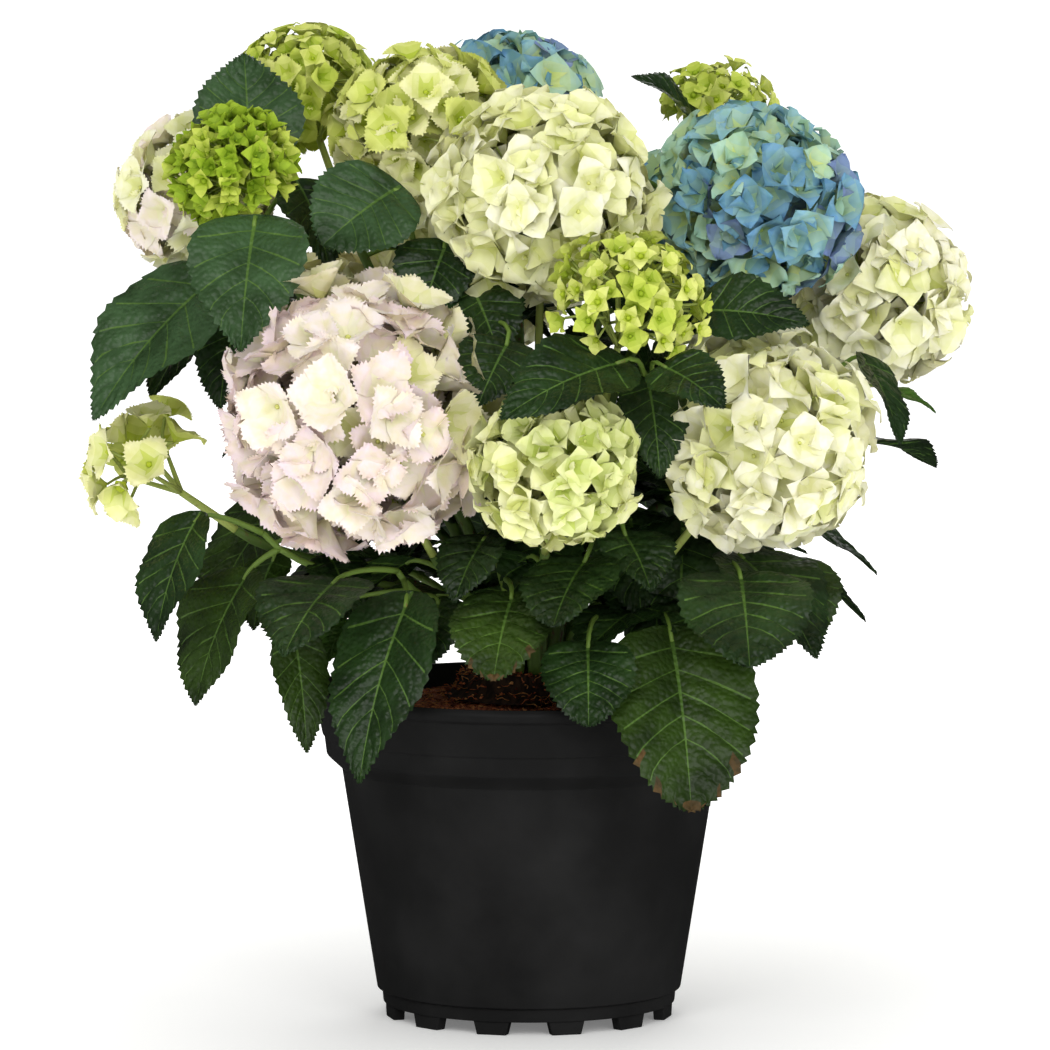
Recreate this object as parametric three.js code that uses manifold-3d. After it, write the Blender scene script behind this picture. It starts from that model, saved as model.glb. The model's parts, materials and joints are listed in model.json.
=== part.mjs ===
// A mophead hydrangea in its round nursery pot. Lengths are in millimetres and angles in degrees.
// +Z is up, -Y is the front, and the origin is on the pot's axis at the level that the pot stands on.
// Canes rise from one woody stock. Each ends where the stem of a flower head or of a mass of leaves begins.
import * as THREE from "three";
import { mergeVertices } from "three/addons/utils/BufferGeometryUtils.js";
import Module from "manifold-3d";

// ---------- Driving dimensions ----------
const CLEARANCE = 0.3; // between neighbours that touch

const POT_FLOOR = 7; // height of the underside between the feet
const FLOOR_THICKNESS = 3;
const WALL = 2;
const WALL_FOOT = { radius: 80, height: 14.8 };
const SKIRT = { top: 77.4, foot: 76.8, step: 13.6 };
const WALL_TOP = { radius: 98.4, height: 131 };
const COLLAR = {
  foot: 106.4, footHeight: 138.5, line: 107.6, lineHeight: 148, lineStep: 1, top: 112, topHeight: 166,
};
const LIP = {
  radius: 115, foot: 167.5, undercut: 0.8, bead: 3, height: 174, round: 2, inner: 110, roll: 1.4, dip: 0.8,
};
const POT_SIDES = 30;
const FOOT_COUNT = 12;
const FOOT = { width: 19.7, taper: 0.8, depth: 6, radius: 72.6, sunk: 1 };

const COMPOST = { height: 168, flat: 50, edge: 161, inset: 0.5 };
const STOCK = { foot: 45, waist: 38, waistHeight: 6, top: 36, height: 14, sides: 14 };

const FEET_SPACING = 9.2;
const FEET_RADIUS = 31;
const FEET_PASSES = 80;
const CANE = { foot: 3.3, tip: 2.3, sides: 4, steps: 5, rise: 0.42, lead: 0.34 };
const CROWN_ROOT = 150; // heads look away from this height on the axis

const HEAD_FLATTEN = 0.9;
const HUB_DEPTH = 0.6; // where the rays leave, below the middle
const PEDUNCLE = { length: 20, radius: 2.2, tip: 1.9 };
// The kinds of flower head. Shares are of the head's radius: its solid middle, and where a floret's root,
// hollow and tips lie. Density is florets for each square millimetre of the radius squared, and width is
// a floret's. Spread is the share of the ball, from its top, that has florets. A spray's florets stand on
// rays that leave a small hub.
const DOME = {
  core: 0.8, detail: 1, density: 0.0053, width: 43, root: 0.62, dent: 0.87, reach: 1.02, spread: 1,
};
const BUDS = {
  core: 0.72, detail: 1, density: 0.0105, width: 22, root: 0.56, dent: 0.88, reach: 0.985, spread: 0.86,
};
const SPRAY = {
  core: 0.18, detail: 0, density: 0.0066, width: 25, root: 0.6, dent: 0.86, reach: 0.985, spread: 0.6,
  rays: true,
};
const RAY = { foot: 1.3, tip: 0.9, sunk: 3 };
const FLORET_UNEVEN = 0.06; // a floret's tips may lie this share of the radius deeper than the reach

const BLADE = { thickness: 1.8, arch: 0.07, fold: 0.16, sunk: 0.1 };
// The stem of a mass: how long it is where a cane carries it, how steeply it leans, and how many places along
// it may carry leaves, less the bare ones at its foot.
const LEAF_STEM = { foot: 2.6, tip: 1.6, sides: 4, steps: 5, carried: 62, rise: 40, places: 12, bare: 3 };
const PETIOLE = { foot: 1.7, tip: 1.1 };
// Leaves that grow in pairs: their sizes, the stretch of the stem that carries them, how far they fan out and
// hang, and how unevenly they do so.
const PAIR = {
  petiole: 26, length: 84, width: 56, smallest: 0.9, larger: 0.2, first: 0.45, last: 0.98,
  fan: 34, wide: 72, pitch: 24, droop: 26, uneven: 22, seed: 41,
};
const CROWN = { x: 208, y: 184, z: 185, middle: 330, floor: 150 };
const GOLDEN_ANGLE = 180 * (3 - Math.sqrt(5));

const POT_FINISH = { color: 0x1d1d1d, roughness: 0.5, metalness: 0 };
const COMPOST_FINISH = { color: 0x5a2a18, roughness: 1, metalness: 0 };
const STOCK_FINISH = { color: 0x6b5236, roughness: 0.9, metalness: 0 };
const CANE_FINISH = { color: 0x5f7a34, roughness: 0.6, metalness: 0 };
const LEAF_FINISH = { color: 0x2a5a30, roughness: 0.45, metalness: 0 };
const SEPAL_FINISH = { roughness: 0.7, metalness: 0 };

// Flower heads: the middle, the radius and the kind.
const HEADS = [
  { name: "blush_front", middle: [-88, -97, 325], radius: 75, kind: DOME, color: 0xead7dc },
  { name: "jade_front", middle: [12, -143, 300], radius: 45, kind: DOME, color: 0xe2e7b0 },
  { name: "cream_crown", middle: [7, -45, 432], radius: 64, kind: DOME, color: 0xf2f2d4 },
  { name: "sky_right", middle: [119, -5, 429], radius: 55, kind: DOME, color: 0x6f9dc9 },
  { name: "ivory_right", middle: [182, 46, 380], radius: 55, kind: DOME, color: 0xf3f3e0 },
  { name: "ivory_front", middle: [119, -85, 309], radius: 63, kind: DOME, color: 0xf4f4e2 },
  { name: "ivory_left", middle: [-174, 40, 432], radius: 45, kind: DOME, color: 0xf0f0d8 },
  { name: "sky_back", middle: [-9, 92, 471], radius: 49, kind: DOME, color: 0x77b1d3 },
  { name: "cream_rear", middle: [-30, 136, 388], radius: 56, kind: DOME, color: 0xf1f2d2 },
  { name: "sky_rear", middle: [78, 134, 402], radius: 50, kind: DOME, color: 0x7ba6d0 },
  { name: "blush_rear", middle: [-110, 115, 342], radius: 56, kind: DOME, color: 0xe9d8dc },
  { name: "ivory_rear", middle: [124, 122, 312], radius: 56, kind: DOME, color: 0xf3f3e0 },
  { name: "lime_crown", middle: [-56, 14, 466], radius: 48, kind: BUDS, color: 0xc6da6c },
  { name: "lime_back", middle: [-120, 72, 482], radius: 42, kind: BUDS, color: 0xb7d24a },
  { name: "green_left", middle: [-153, -42, 447], radius: 35, kind: BUDS, color: 0x8dc21f },
  { name: "lime_centre", middle: [50, -118, 382], radius: 44, kind: SPRAY, color: 0xb9d552 },
  { name: "lime_right", middle: [100, 76, 470], radius: 35, kind: SPRAY, color: 0xa9cf45 },
  { name: "side_left", middle: [-200, -20, 290], radius: 38, kind: SPRAY, color: 0xdfe6a8 },
];

// Masses of leaves: where the stem ends, whether a cane of its own carries it or it springs from the stock,
// how many pairs of leaves grow along it by rule, and the leaves that stand out of the crown, as the foot of
// the blade, its tip, its width and how far it is rolled about its midrib to look forwards.
const LEAF_MASSES = [
  { name: "left_high", end: [-148, -8, 402], cane: true, pairs: 2, leaves: [
    [[-158, -32, 394], [-224, -62, 318], 70, 25],
    [[-140, -64, 424], [-146, -116, 357], 62, 0],
    [[-146, 2, 446], [-150, 34, 504], 58, 0],
    [[-122, 4, 440], [-104, -18, 394], 44, 0],
    [[-150, -20, 372], [-160, -38, 322], 40, 0],
  ] },
  { name: "crown", end: [-58, -30, 400], cane: true, pairs: 2, leaves: [
    [[-66, -36, 438], [-106, -62, 408], 58, 45],
    [[-42, -46, 410], [-56, -70, 368], 44, 20],
    [[-30, -54, 388], [-14, -88, 350], 44, 20],
    [[-10, -100, 362], [-26, -130, 330], 42, 20],
  ] },
  { name: "centre", end: [64, -62, 322], cane: true, pairs: 0, leaves: [
    [[50, -136, 354], [-14, -184, 328], 52, 30],
    [[66, -140, 352], [97, -178, 333], 36, 30],
    [[84, -84, 376], [142, -108, 370], 42, 45],
    [[60, -98, 344], [66, -130, 294], 36, 0],
    [[30, -92, 250], [12, -144, 220], 50, 0],
    [[48, -74, 262], [62, -106, 234], 42, 0],
  ] },
  { name: "top_right", end: [82, 44, 440], cane: true, pairs: 0, leaves: [
    [[90, 46, 468], [54, 28, 492], 34, 30],
    [[66, 62, 430], [44, 98, 418], 36, 0],
    [[62, 28, 438], [12, 36, 426], 44, 0],
  ] },
  { name: "right_high", end: [152, 2, 330], cane: true, pairs: 1, leaves: [
    [[172, -14, 350], [192, -38, 303], 36, -20],
    [[184, 2, 330], [212, -14, 318], 16, 0],
    [[176, 20, 300], [216, 52, 284], 44, 0],
  ] },
  { name: "left_low", end: [-138, -42, 258], cane: false, pairs: 0, leaves: [
    [[-170, -46, 270], [-192, -66, 204], 48, 0],
    [[-144, -40, 240], [-172, -60, 170], 68, 0],
    [[-132, -30, 246], [-144, -12, 204], 32, 0],
  ] },
  { name: "rim_left", end: [-68, -60, 240], cane: false, pairs: 0, leaves: [
    [[-60, -80, 232], [-86, -130, 139], 58, 0],
    [[-98, -78, 238], [-124, -134, 204], 62, 0],
    [[-122, -58, 212], [-114, -88, 149], 30, 0],
    [[-90, -34, 212], [-112, -54, 184], 26, 0],
    [[-46, -62, 226], [-54, -92, 192], 40, 0],
  ] },
  { name: "rim_front", end: [-16, -56, 244], cane: false, pairs: 0, leaves: [
    [[-8, -90, 232], [-18, -146, 193], 54, 0],
    [[-22, -74, 260], [-38, -104, 228], 38, 0],
  ] },
  { name: "rim_right", end: [94, -30, 240], cane: false, pairs: 1, leaves: [
    [[72, -80, 214], [82, -142, 126], 78, 0],
    [[108, -84, 242], [111, -148, 200], 68, 0],
    [[62, -46, 222], [26, -90, 196], 46, 0],
    [[30, -98, 208], [30, -140, 169], 48, 0],
    [[138, -48, 246], [146, -78, 203], 38, 0],
    [[84, -50, 224], [96, -90, 190], 46, 0],
  ] },
  { name: "side_left", end: [-112, 56, 262], cane: false, pairs: 2, leaves: [] },
  { name: "rear_left", end: [-44, 96, 262], cane: false, pairs: 3, leaves: [] },
  { name: "rear", end: [27, 104, 276], cane: false, pairs: 3, leaves: [] },
  { name: "rear_right", end: [92, 52, 258], cane: false, pairs: 3, leaves: [] },
];

// ---------- Solids ----------
const wasm = await Module();
wasm.setup();

const vector = (place) => new THREE.Vector3(...place);
const radians = THREE.MathUtils.degToRad;
const UP = new THREE.Vector3(0, 0, 1);
const WELD = 1e-4;
const UPRIGHT = 1e-6; // square of the sine under which a direction counts as straight up

// A closed geometry as a solid with its faces turned out.
function toSolid(geometry) {
  const bare = geometry.clone();
  bare.deleteAttribute("normal");
  bare.deleteAttribute("uv");
  const merged = mergeVertices(bare, WELD);
  const triVerts = new Uint32Array(merged.index.array);
  const mesh = { numProp: 3, vertProperties: merged.attributes.position.array, triVerts };
  const solid = new wasm.Manifold(new wasm.Mesh(mesh));
  if (solid.volume() > 0) return solid;
  for (let corner = 0; corner < triVerts.length; corner += 3) {
    [triVerts[corner + 1], triVerts[corner + 2]] = [triVerts[corner + 2], triVerts[corner + 1]];
  }
  return new wasm.Manifold(new wasm.Mesh(mesh));
}

// The largest body of a solid, without loose scraps and sealed hollows, as a flat-shaded geometry.
function toGeometry(solid) {
  const bodies = solid.decompose().sort((a, b) => b.volume() - a.volume());
  const { vertProperties, triVerts, numProp } = bodies[0].getMesh();
  const places = new Float32Array((vertProperties.length / numProp) * 3);
  for (let vertex = 0; vertex * numProp < vertProperties.length; vertex += 1) {
    places.set(vertProperties.subarray(vertex * numProp, vertex * numProp + 3), vertex * 3);
  }
  const geometry = new THREE.BufferGeometry();
  geometry.setAttribute("position", new THREE.BufferAttribute(places, 3));
  geometry.setIndex(new THREE.BufferAttribute(new Uint32Array(triVerts), 1));
  geometry.computeVertexNormals();
  return geometry;
}

const joined = (solids) => solids.reduce((whole, piece) => whole.add(piece));

// Moves each vertex of a geometry to where place() puts it.
function reshaped(geometry, place) {
  const positions = geometry.attributes.position;
  const vertex = new THREE.Vector3();
  for (let index = 0; index < positions.count; index += 1) {
    place(vertex.fromBufferAttribute(positions, index));
    positions.setXYZ(index, vertex.x, vertex.y, vertex.z);
  }
  return geometry;
}

// A solid of revolution about Z from [radius, height] pairs.
function turned(profile, sides) {
  const points = profile.map(([radius, height]) => new THREE.Vector2(radius, height));
  return new THREE.LatheGeometry(points, sides).rotateX(Math.PI / 2);
}

// Repeatable random numbers from 0 to 1.
function randomFrom(seed) {
  let state = seed >>> 0;
  return () => {
    state = (Math.imul(state, 1664525) + 1013904223) >>> 0;
    return state / 2 ** 32;
  };
}

// ---------- Growing shapes ----------
// A limb along a curve, tapering from foot to tip.
function limb(curve, footRadius, tipRadius, sides, steps) {
  const frames = curve.computeFrenetFrames(steps, false);
  const straight = new THREE.CylinderGeometry(tipRadius, footRadius, 1, sides, steps);
  return toSolid(reshaped(straight, (vertex) => {
    const along = vertex.y + 0.5;
    const step = Math.round(along * steps);
    const centre = curve.getPointAt(step / steps);
    const across = frames.normals[step].clone().multiplyScalar(vertex.x);
    const beside = frames.binormals[step].clone().multiplyScalar(vertex.z);
    vertex.copy(centre).add(across).add(beside);
  }));
}

// A straight three-sided twig.
function twig(foot, tip, footRadius, tipRadius) {
  return limb(new THREE.LineCurve3(foot, tip), footRadius, tipRadius, 3, 1);
}

// The outline of a blade, going round from the tip: shares of the midrib and of the half width.
const OUTLINE = [
  [1, 0], [0.77, 0.6], [0.45, 1], [0.14, 0.7], [0, 0], [0.14, -0.7], [0.45, -1], [0.77, -0.6],
];

// The frame of a blade: its midrib's direction, its side and the way that its upper face looks.
function bladeFrame(foot, tip, roll) {
  const along = tip.clone().sub(foot).normalize();
  const forwards = radians(roll) * (along.x < 0 ? -1 : 1);
  const side = along.clone().cross(UP).normalize().applyAxisAngle(along, forwards);
  return { along, side, face: side.clone().cross(along), length: foot.distanceTo(tip) };
}

// A point of a blade, share along its midrib and offset to its side. The midrib arches, the halves fold up.
function bladePoint(foot, frame, share, offset) {
  const lift = BLADE.arch * frame.length * 4 * share * (1 - share) + BLADE.fold * Math.abs(offset);
  return foot.clone()
    .addScaledVector(frame.along, share * frame.length)
    .addScaledVector(frame.side, offset)
    .addScaledVector(frame.face, lift);
}

// A blade as two shallow fans over its outline. Spare makes it thicker and wider on all sides.
function blade(foot, tip, width, roll, spare) {
  const frame = bladeFrame(foot, tip, roll);
  const [poleShare] = OUTLINE[2];
  return toSolid(reshaped(new THREE.SphereGeometry(1, OUTLINE.length, 2), (vertex) => {
    if (Math.abs(vertex.y) > 0.5) {
      const half = Math.sign(vertex.y) * (BLADE.thickness / 2 + spare);
      vertex.copy(bladePoint(foot, frame, poleShare, 0)).addScaledVector(frame.face, half);
      return;
    }
    const turn = Math.atan2(vertex.z, -vertex.x) / (2 * Math.PI);
    const [share, out] = OUTLINE[(Math.round(turn * OUTLINE.length) + OUTLINE.length) % OUTLINE.length];
    const end = share === 1 ? spare : share === 0 ? -spare : 0;
    vertex.copy(bladePoint(foot, frame, share, out * (width / 2 + spare)));
    vertex.addScaledVector(frame.along, end);
  }));
}

// A leaf: its blade, and the petiole that carries it from a place on the stem.
function leaf(stemPlace, foot, tip, width, roll, spare) {
  const frame = bladeFrame(foot, tip, roll);
  const held = bladePoint(foot, frame, BLADE.sunk, 0);
  const petiole = twig(stemPlace, held, PETIOLE.foot + spare, PETIOLE.tip + spare);
  return blade(foot, tip, width, roll, spare).add(petiole);
}

// A floret: four sepals as one square cup whose root is sunk in the head.
function floret(root, axis, depth, dent, width, spin, spare) {
  const across = axis.clone().cross(UP);
  if (across.lengthSq() < UPRIGHT) across.set(1, 0, 0);
  across.normalize().applyAxisAngle(axis, spin);
  const beside = axis.clone().cross(across);
  return toSolid(reshaped(new THREE.SphereGeometry(1, 4, 2), (vertex) => {
    if (vertex.y < -0.5) {
      vertex.copy(root);
      return;
    }
    if (vertex.y > 0.5) {
      vertex.copy(root).addScaledVector(axis, dent + spare);
      return;
    }
    const { x, z } = vertex;
    vertex.copy(root).addScaledVector(axis, depth)
      .addScaledVector(across, x * (width / 2 + spare))
      .addScaledVector(beside, z * (width / 2 + spare));
  }));
}

// ---------- The pot, its compost and the stock ----------
const INNER_WALL = [
  [SKIRT.foot - WALL, POT_FLOOR + FLOOR_THICKNESS],
  [WALL_TOP.radius - WALL, WALL_TOP.height + WALL],
  [COLLAR.foot - WALL, COLLAR.footHeight + WALL],
  [LIP.inner, LIP.foot],
];

function potSolid() {
  const shell = toSolid(turned([
    [0, POT_FLOOR],
    [SKIRT.foot, POT_FLOOR],
    [SKIRT.top, SKIRT.step],
    [WALL_FOOT.radius, WALL_FOOT.height],
    [WALL_TOP.radius, WALL_TOP.height],
    [COLLAR.foot - WALL, COLLAR.footHeight - WALL],
    [COLLAR.foot, COLLAR.footHeight],
    [COLLAR.line, COLLAR.lineHeight],
    [COLLAR.line + COLLAR.lineStep, COLLAR.lineHeight + COLLAR.lineStep],
    [COLLAR.top, COLLAR.topHeight],
    [LIP.radius - LIP.undercut, LIP.foot],
    [LIP.radius, LIP.height - LIP.bead],
    [LIP.radius - LIP.round, LIP.height],
    [LIP.inner + LIP.roll, LIP.height - LIP.dip],
    ...INNER_WALL.slice().reverse(),
    [0, POT_FLOOR + FLOOR_THICKNESS],
  ], POT_SIDES));
  const feet = [];
  for (let index = 0; index < FOOT_COUNT; index += 1) {
    const height = POT_FLOOR + FOOT.sunk;
    const block = reshaped(new THREE.BoxGeometry(FOOT.width, FOOT.depth, height), (vertex) => {
      if (vertex.z < 0) vertex.x *= FOOT.taper;
      vertex.y -= FOOT.radius;
      vertex.z += height / 2;
    });
    feet.push(toSolid(block.rotateZ(radians(((index + 0.5) * 360) / FOOT_COUNT))));
  }
  return joined([shell, ...feet]);
}

// The radius of the pot's inner wall at a height.
function innerRadius(height) {
  const above = INNER_WALL.findIndex(([, top]) => top >= height);
  const [lowRadius, low] = INNER_WALL[above - 1];
  const [highRadius, high] = INNER_WALL[above];
  return THREE.MathUtils.mapLinear(height, low, high, lowRadius, highRadius);
}

// The compost fills the pot to just below its lip and rises a little to the flat that the stock stands on.
function compostSolid() {
  const clear = INNER_WALL.map(([radius, height]) => [radius - COMPOST.inset, height + CLEARANCE]);
  const [foot, shoulder, ledge] = clear;
  return toSolid(turned([
    [0, foot[1]],
    foot,
    shoulder,
    ledge,
    [innerRadius(COMPOST.edge) - COMPOST.inset, COMPOST.edge],
    [COMPOST.flat, COMPOST.height],
    [0, COMPOST.height],
  ], POT_SIDES));
}

const stockFoot = COMPOST.height + CLEARANCE;
const stockTop = stockFoot + STOCK.height;

function stockSolid() {
  return toSolid(turned([
    [0, stockFoot],
    [STOCK.foot, stockFoot],
    [STOCK.waist, stockFoot + STOCK.waistHeight],
    [STOCK.top, stockTop],
    [0, stockTop],
  ], STOCK.sides));
}

// ---------- Where the limbs run ----------
// The way a head looks: out and up from the root of the crown.
function headAxis(middle) {
  return new THREE.Vector3(middle.x, middle.y, middle.z - CROWN_ROOT).normalize();
}

// Feet on the stock. The more a limb leans out the nearer it stands to the edge. Neighbours are pushed apart.
function spreadFeet(tips) {
  const feet = tips.map((tip) => {
    const reach = Math.hypot(tip.x, tip.y, tip.z - stockTop);
    return new THREE.Vector2(tip.x, tip.y).multiplyScalar(FEET_RADIUS / reach);
  });
  for (let pass = 0; pass < FEET_PASSES; pass += 1) {
    feet.forEach((foot, index) => feet.slice(index + 1).forEach((other) => {
      const push = other.clone().sub(foot);
      const distance = push.length();
      if (distance >= FEET_SPACING) return;
      push.setLength((FEET_SPACING - distance) / 2);
      foot.sub(push);
      other.add(push);
    }));
    feet.forEach((foot) => foot.clampLength(0, FEET_RADIUS));
  }
  return feet.map((foot) => new THREE.Vector3(foot.x, foot.y, stockTop + CLEARANCE));
}

// A limb's route: it leaves the stock upwards and arrives along its last direction.
function route(foot, tip, arriving) {
  const reach = foot.distanceTo(tip);
  const rise = foot.clone().addScaledVector(UP, CANE.rise * reach);
  const lead = tip.clone().addScaledVector(arriving, -CANE.lead * reach);
  return new THREE.CubicBezierCurve3(foot, rise, lead, tip);
}

// ---------- The space that is taken ----------
// A piece is let in where its fattened copy touches nothing that belongs to another node.
const taken = [];

const ends = (a, b) => a.max.some((top, axis) => top < b.min[axis]);
const apart = (a, b) => ends(a, b) || ends(b, a);

function isFree(owner, fattened) {
  const box = fattened.boundingBox();
  return taken.every((other) => other.owner === owner || apart(box, other.box)
    || fattened.intersect(other.solid).isEmpty());
}

function take(owner, solid) {
  taken.push({ owner, solid, box: solid.boundingBox() });
}

// ---------- Assembly ----------
const group = new THREE.Group();
const nodes = new Map();

function addNode(name, solid, finish) {
  const mesh = new THREE.Mesh(toGeometry(solid), new THREE.MeshStandardMaterial(finish));
  mesh.name = name;
  group.add(mesh);
}

function claim(name, piece) {
  take(name, piece);
  if (!nodes.has(name)) nodes.set(name, []);
  nodes.get(name).push(piece);
}

take("pot", potSolid());
take("compost", compostSolid());
take("stock", stockSolid());

const heads = HEADS.map((head) => {
  const middle = vector(head.middle);
  const axis = headAxis(middle);
  const hub = middle.clone().addScaledVector(axis, -head.radius * HUB_DEPTH);
  const stemFoot = middle.clone().addScaledVector(axis, -head.radius - PEDUNCLE.length);
  return { ...head, node: `head_${head.name}`, middle, axis, hub, stemFoot };
});

const masses = LEAF_MASSES.map((mass) => {
  const end = vector(mass.end);
  const leaning = new THREE.Vector3(end.x, end.y, Math.hypot(end.x, end.y) + LEAF_STEM.rise).normalize();
  return { ...mass, node: `leaves_${mass.name}`, end, leaning };
});

// Canes go to every head, and to the masses that have one; the other masses spring from the stock themselves.
const limbs = [
  ...heads.map((head) => ({ name: `cane_${head.name}`, tip: head.stemFoot, arriving: head.axis })),
  ...masses.map((mass) => {
    if (!mass.cane) return { mass, tip: mass.end, arriving: mass.leaning };
    const tip = mass.end.clone().addScaledVector(mass.leaning, -LEAF_STEM.carried);
    return { name: `cane_${mass.name}`, tip, arriving: mass.leaning };
  }),
];
const feet = spreadFeet(limbs.map(({ tip }) => tip));
limbs.forEach(({ name, mass, tip, arriving }, index) => {
  const path = route(feet[index], tip, arriving);
  if (mass) {
    mass.stem = path;
    return;
  }
  claim(name, limb(path, CANE.foot, CANE.tip, CANE.sides, CANE.steps));
});

masses.forEach((mass) => {
  if (mass.cane) {
    const start = mass.end.clone().addScaledVector(mass.leaning, CLEARANCE - LEAF_STEM.carried);
    mass.stem = new THREE.LineCurve3(start, mass.end);
  }
  const { foot, tip, sides, steps } = LEAF_STEM;
  claim(mass.node, limb(mass.stem, foot, tip, sides, mass.cane ? 1 : steps));
});

// A head's stem, and its solid middle or the hub that its rays leave.
heads.forEach(({ node, kind, radius, middle, axis, hub, stemFoot }) => {
  const start = stemFoot.clone().addScaledVector(axis, CLEARANCE);
  claim(node, twig(start, hub, PEDUNCLE.radius, PEDUNCLE.tip));
  const turn = new THREE.Quaternion().setFromUnitVectors(UP, axis);
  const ball = new THREE.IcosahedronGeometry(radius * kind.core, kind.detail).scale(1, 1, HEAD_FLATTEN);
  const { x, y, z } = kind.rays ? hub : middle;
  claim(node, toSolid(ball.applyQuaternion(turn).translate(x, y, z)));
});

// The leaves that stand out of the crown, each from the nearest place on its mass's stem.
masses.forEach(({ node, stem, leaves }) => {
  const places = stem.getSpacedPoints(LEAF_STEM.places).slice(LEAF_STEM.bare);
  leaves.forEach(([foot, tip, width, roll]) => {
    const from = vector(foot);
    const far = (place) => place.distanceTo(from) + Math.max(0, place.z - from.z);
    const [nearest] = places.slice().sort((a, b) => far(a) - far(b));
    const shape = [nearest, from, vector(tip), width, roll];
    if (isFree(node, leaf(...shape, CLEARANCE))) claim(node, leaf(...shape, 0));
  });
});

// Florets over a head, on a golden-angle spiral from its top.
heads.forEach(({ node, kind, radius, middle, axis, hub }, order) => {
  const random = randomFrom(order + 1);
  const turn = new THREE.Quaternion().setFromUnitVectors(UP, axis);
  const count = Math.round(kind.density * radius * radius);
  for (let index = 0; index < count; index += 1) {
    const height = 1 - (2 * kind.spread * (index + 0.5)) / count;
    const ring = Math.sqrt(1 - height * height);
    const round = radians(index * GOLDEN_ANGLE);
    const out = new THREE.Vector3(ring * Math.cos(round), ring * Math.sin(round), height);
    const root = out.clone().multiplyScalar(radius * kind.root);
    root.z *= HEAD_FLATTEN;
    root.applyQuaternion(turn).add(middle);
    out.applyQuaternion(turn);
    const spin = random() * Math.PI;
    const depth = radius * (kind.reach - kind.root - FLORET_UNEVEN * random());
    const dent = radius * (kind.dent - kind.root);
    const piece = (spare) => {
      const cup = floret(root, out, depth, dent, kind.width, spin, spare);
      if (!kind.rays) return cup;
      const end = root.clone().addScaledVector(out, RAY.sunk);
      return cup.add(twig(hub, end, RAY.foot + spare, RAY.tip + spare));
    };
    if (isFree(node, piece(CLEARANCE))) claim(node, piece(0));
  }
});

// Pairs of leaves along a stem, a narrow and a wide pair by turns, fanned outwards and kept inside the crown.
masses.forEach(({ node, stem, pairs, end }, order) => {
  const random = randomFrom(PAIR.seed + order);
  const outward = Math.atan2(end.y, end.x);
  for (let pair = 0; pair < pairs; pair += 1) {
    const share = pairs > 1 ? pair / (pairs - 1) : 1;
    const place = stem.getPointAt(THREE.MathUtils.lerp(PAIR.first, PAIR.last, share));
    const fan = pair % 2 ? PAIR.wide : PAIR.fan;
    for (const side of [-1, 1]) {
      const turn = outward + radians(side * fan + PAIR.uneven * (random() - 0.5));
      const size = PAIR.smallest + PAIR.larger * random();
      const drop = radians(PAIR.droop + PAIR.uneven * random());
      const reach = new THREE.Vector3(Math.cos(turn), Math.sin(turn), Math.tan(radians(PAIR.pitch)));
      const hang = new THREE.Vector3(Math.cos(turn), Math.sin(turn), -Math.tan(drop));
      const foot = place.clone().addScaledVector(reach.normalize(), PAIR.petiole * size);
      const tip = foot.clone().addScaledVector(hang.normalize(), PAIR.length * size);
      const above = Math.max(0, tip.z - CROWN.middle);
      const outside = Math.hypot(tip.x / CROWN.x, tip.y / CROWN.y, above / CROWN.z) >= 1;
      if (outside || tip.z <= CROWN.floor) continue;
      const shape = [place, foot, tip, PAIR.width * size, 0];
      if (isFree(node, leaf(...shape, CLEARANCE))) claim(node, leaf(...shape, 0));
    }
  }
});

addNode("pot", potSolid(), POT_FINISH);
addNode("compost", compostSolid(), COMPOST_FINISH);
addNode("stock", stockSolid(), STOCK_FINISH);
nodes.forEach((pieces, name) => {
  const head = heads.find(({ node }) => node === name);
  const green = name.startsWith("cane_") ? CANE_FINISH : LEAF_FINISH;
  addNode(name, joined(pieces), head ? { ...SEPAL_FINISH, color: head.color } : green);
});

export default group;
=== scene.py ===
"""A mophead hydrangea in its round nursery pot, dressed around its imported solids.

The tables hold millimetres and degrees, and every mesh is in metres. +Z is up, -Y is the front, and the
origin is on the pot's axis at the level that it stands on. Canes, leaf stems and heads are placed by the
rule of the solids, which is written again here, and carried on to veins, teeth and single sepals.
"""

import functools
import json
import logging
import math
from collections.abc import Callable, Iterable, Sequence
from dataclasses import dataclass, field
from enum import Enum

import bpy
import numpy as np
from mathutils import Matrix, Quaternion, Vector

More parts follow.
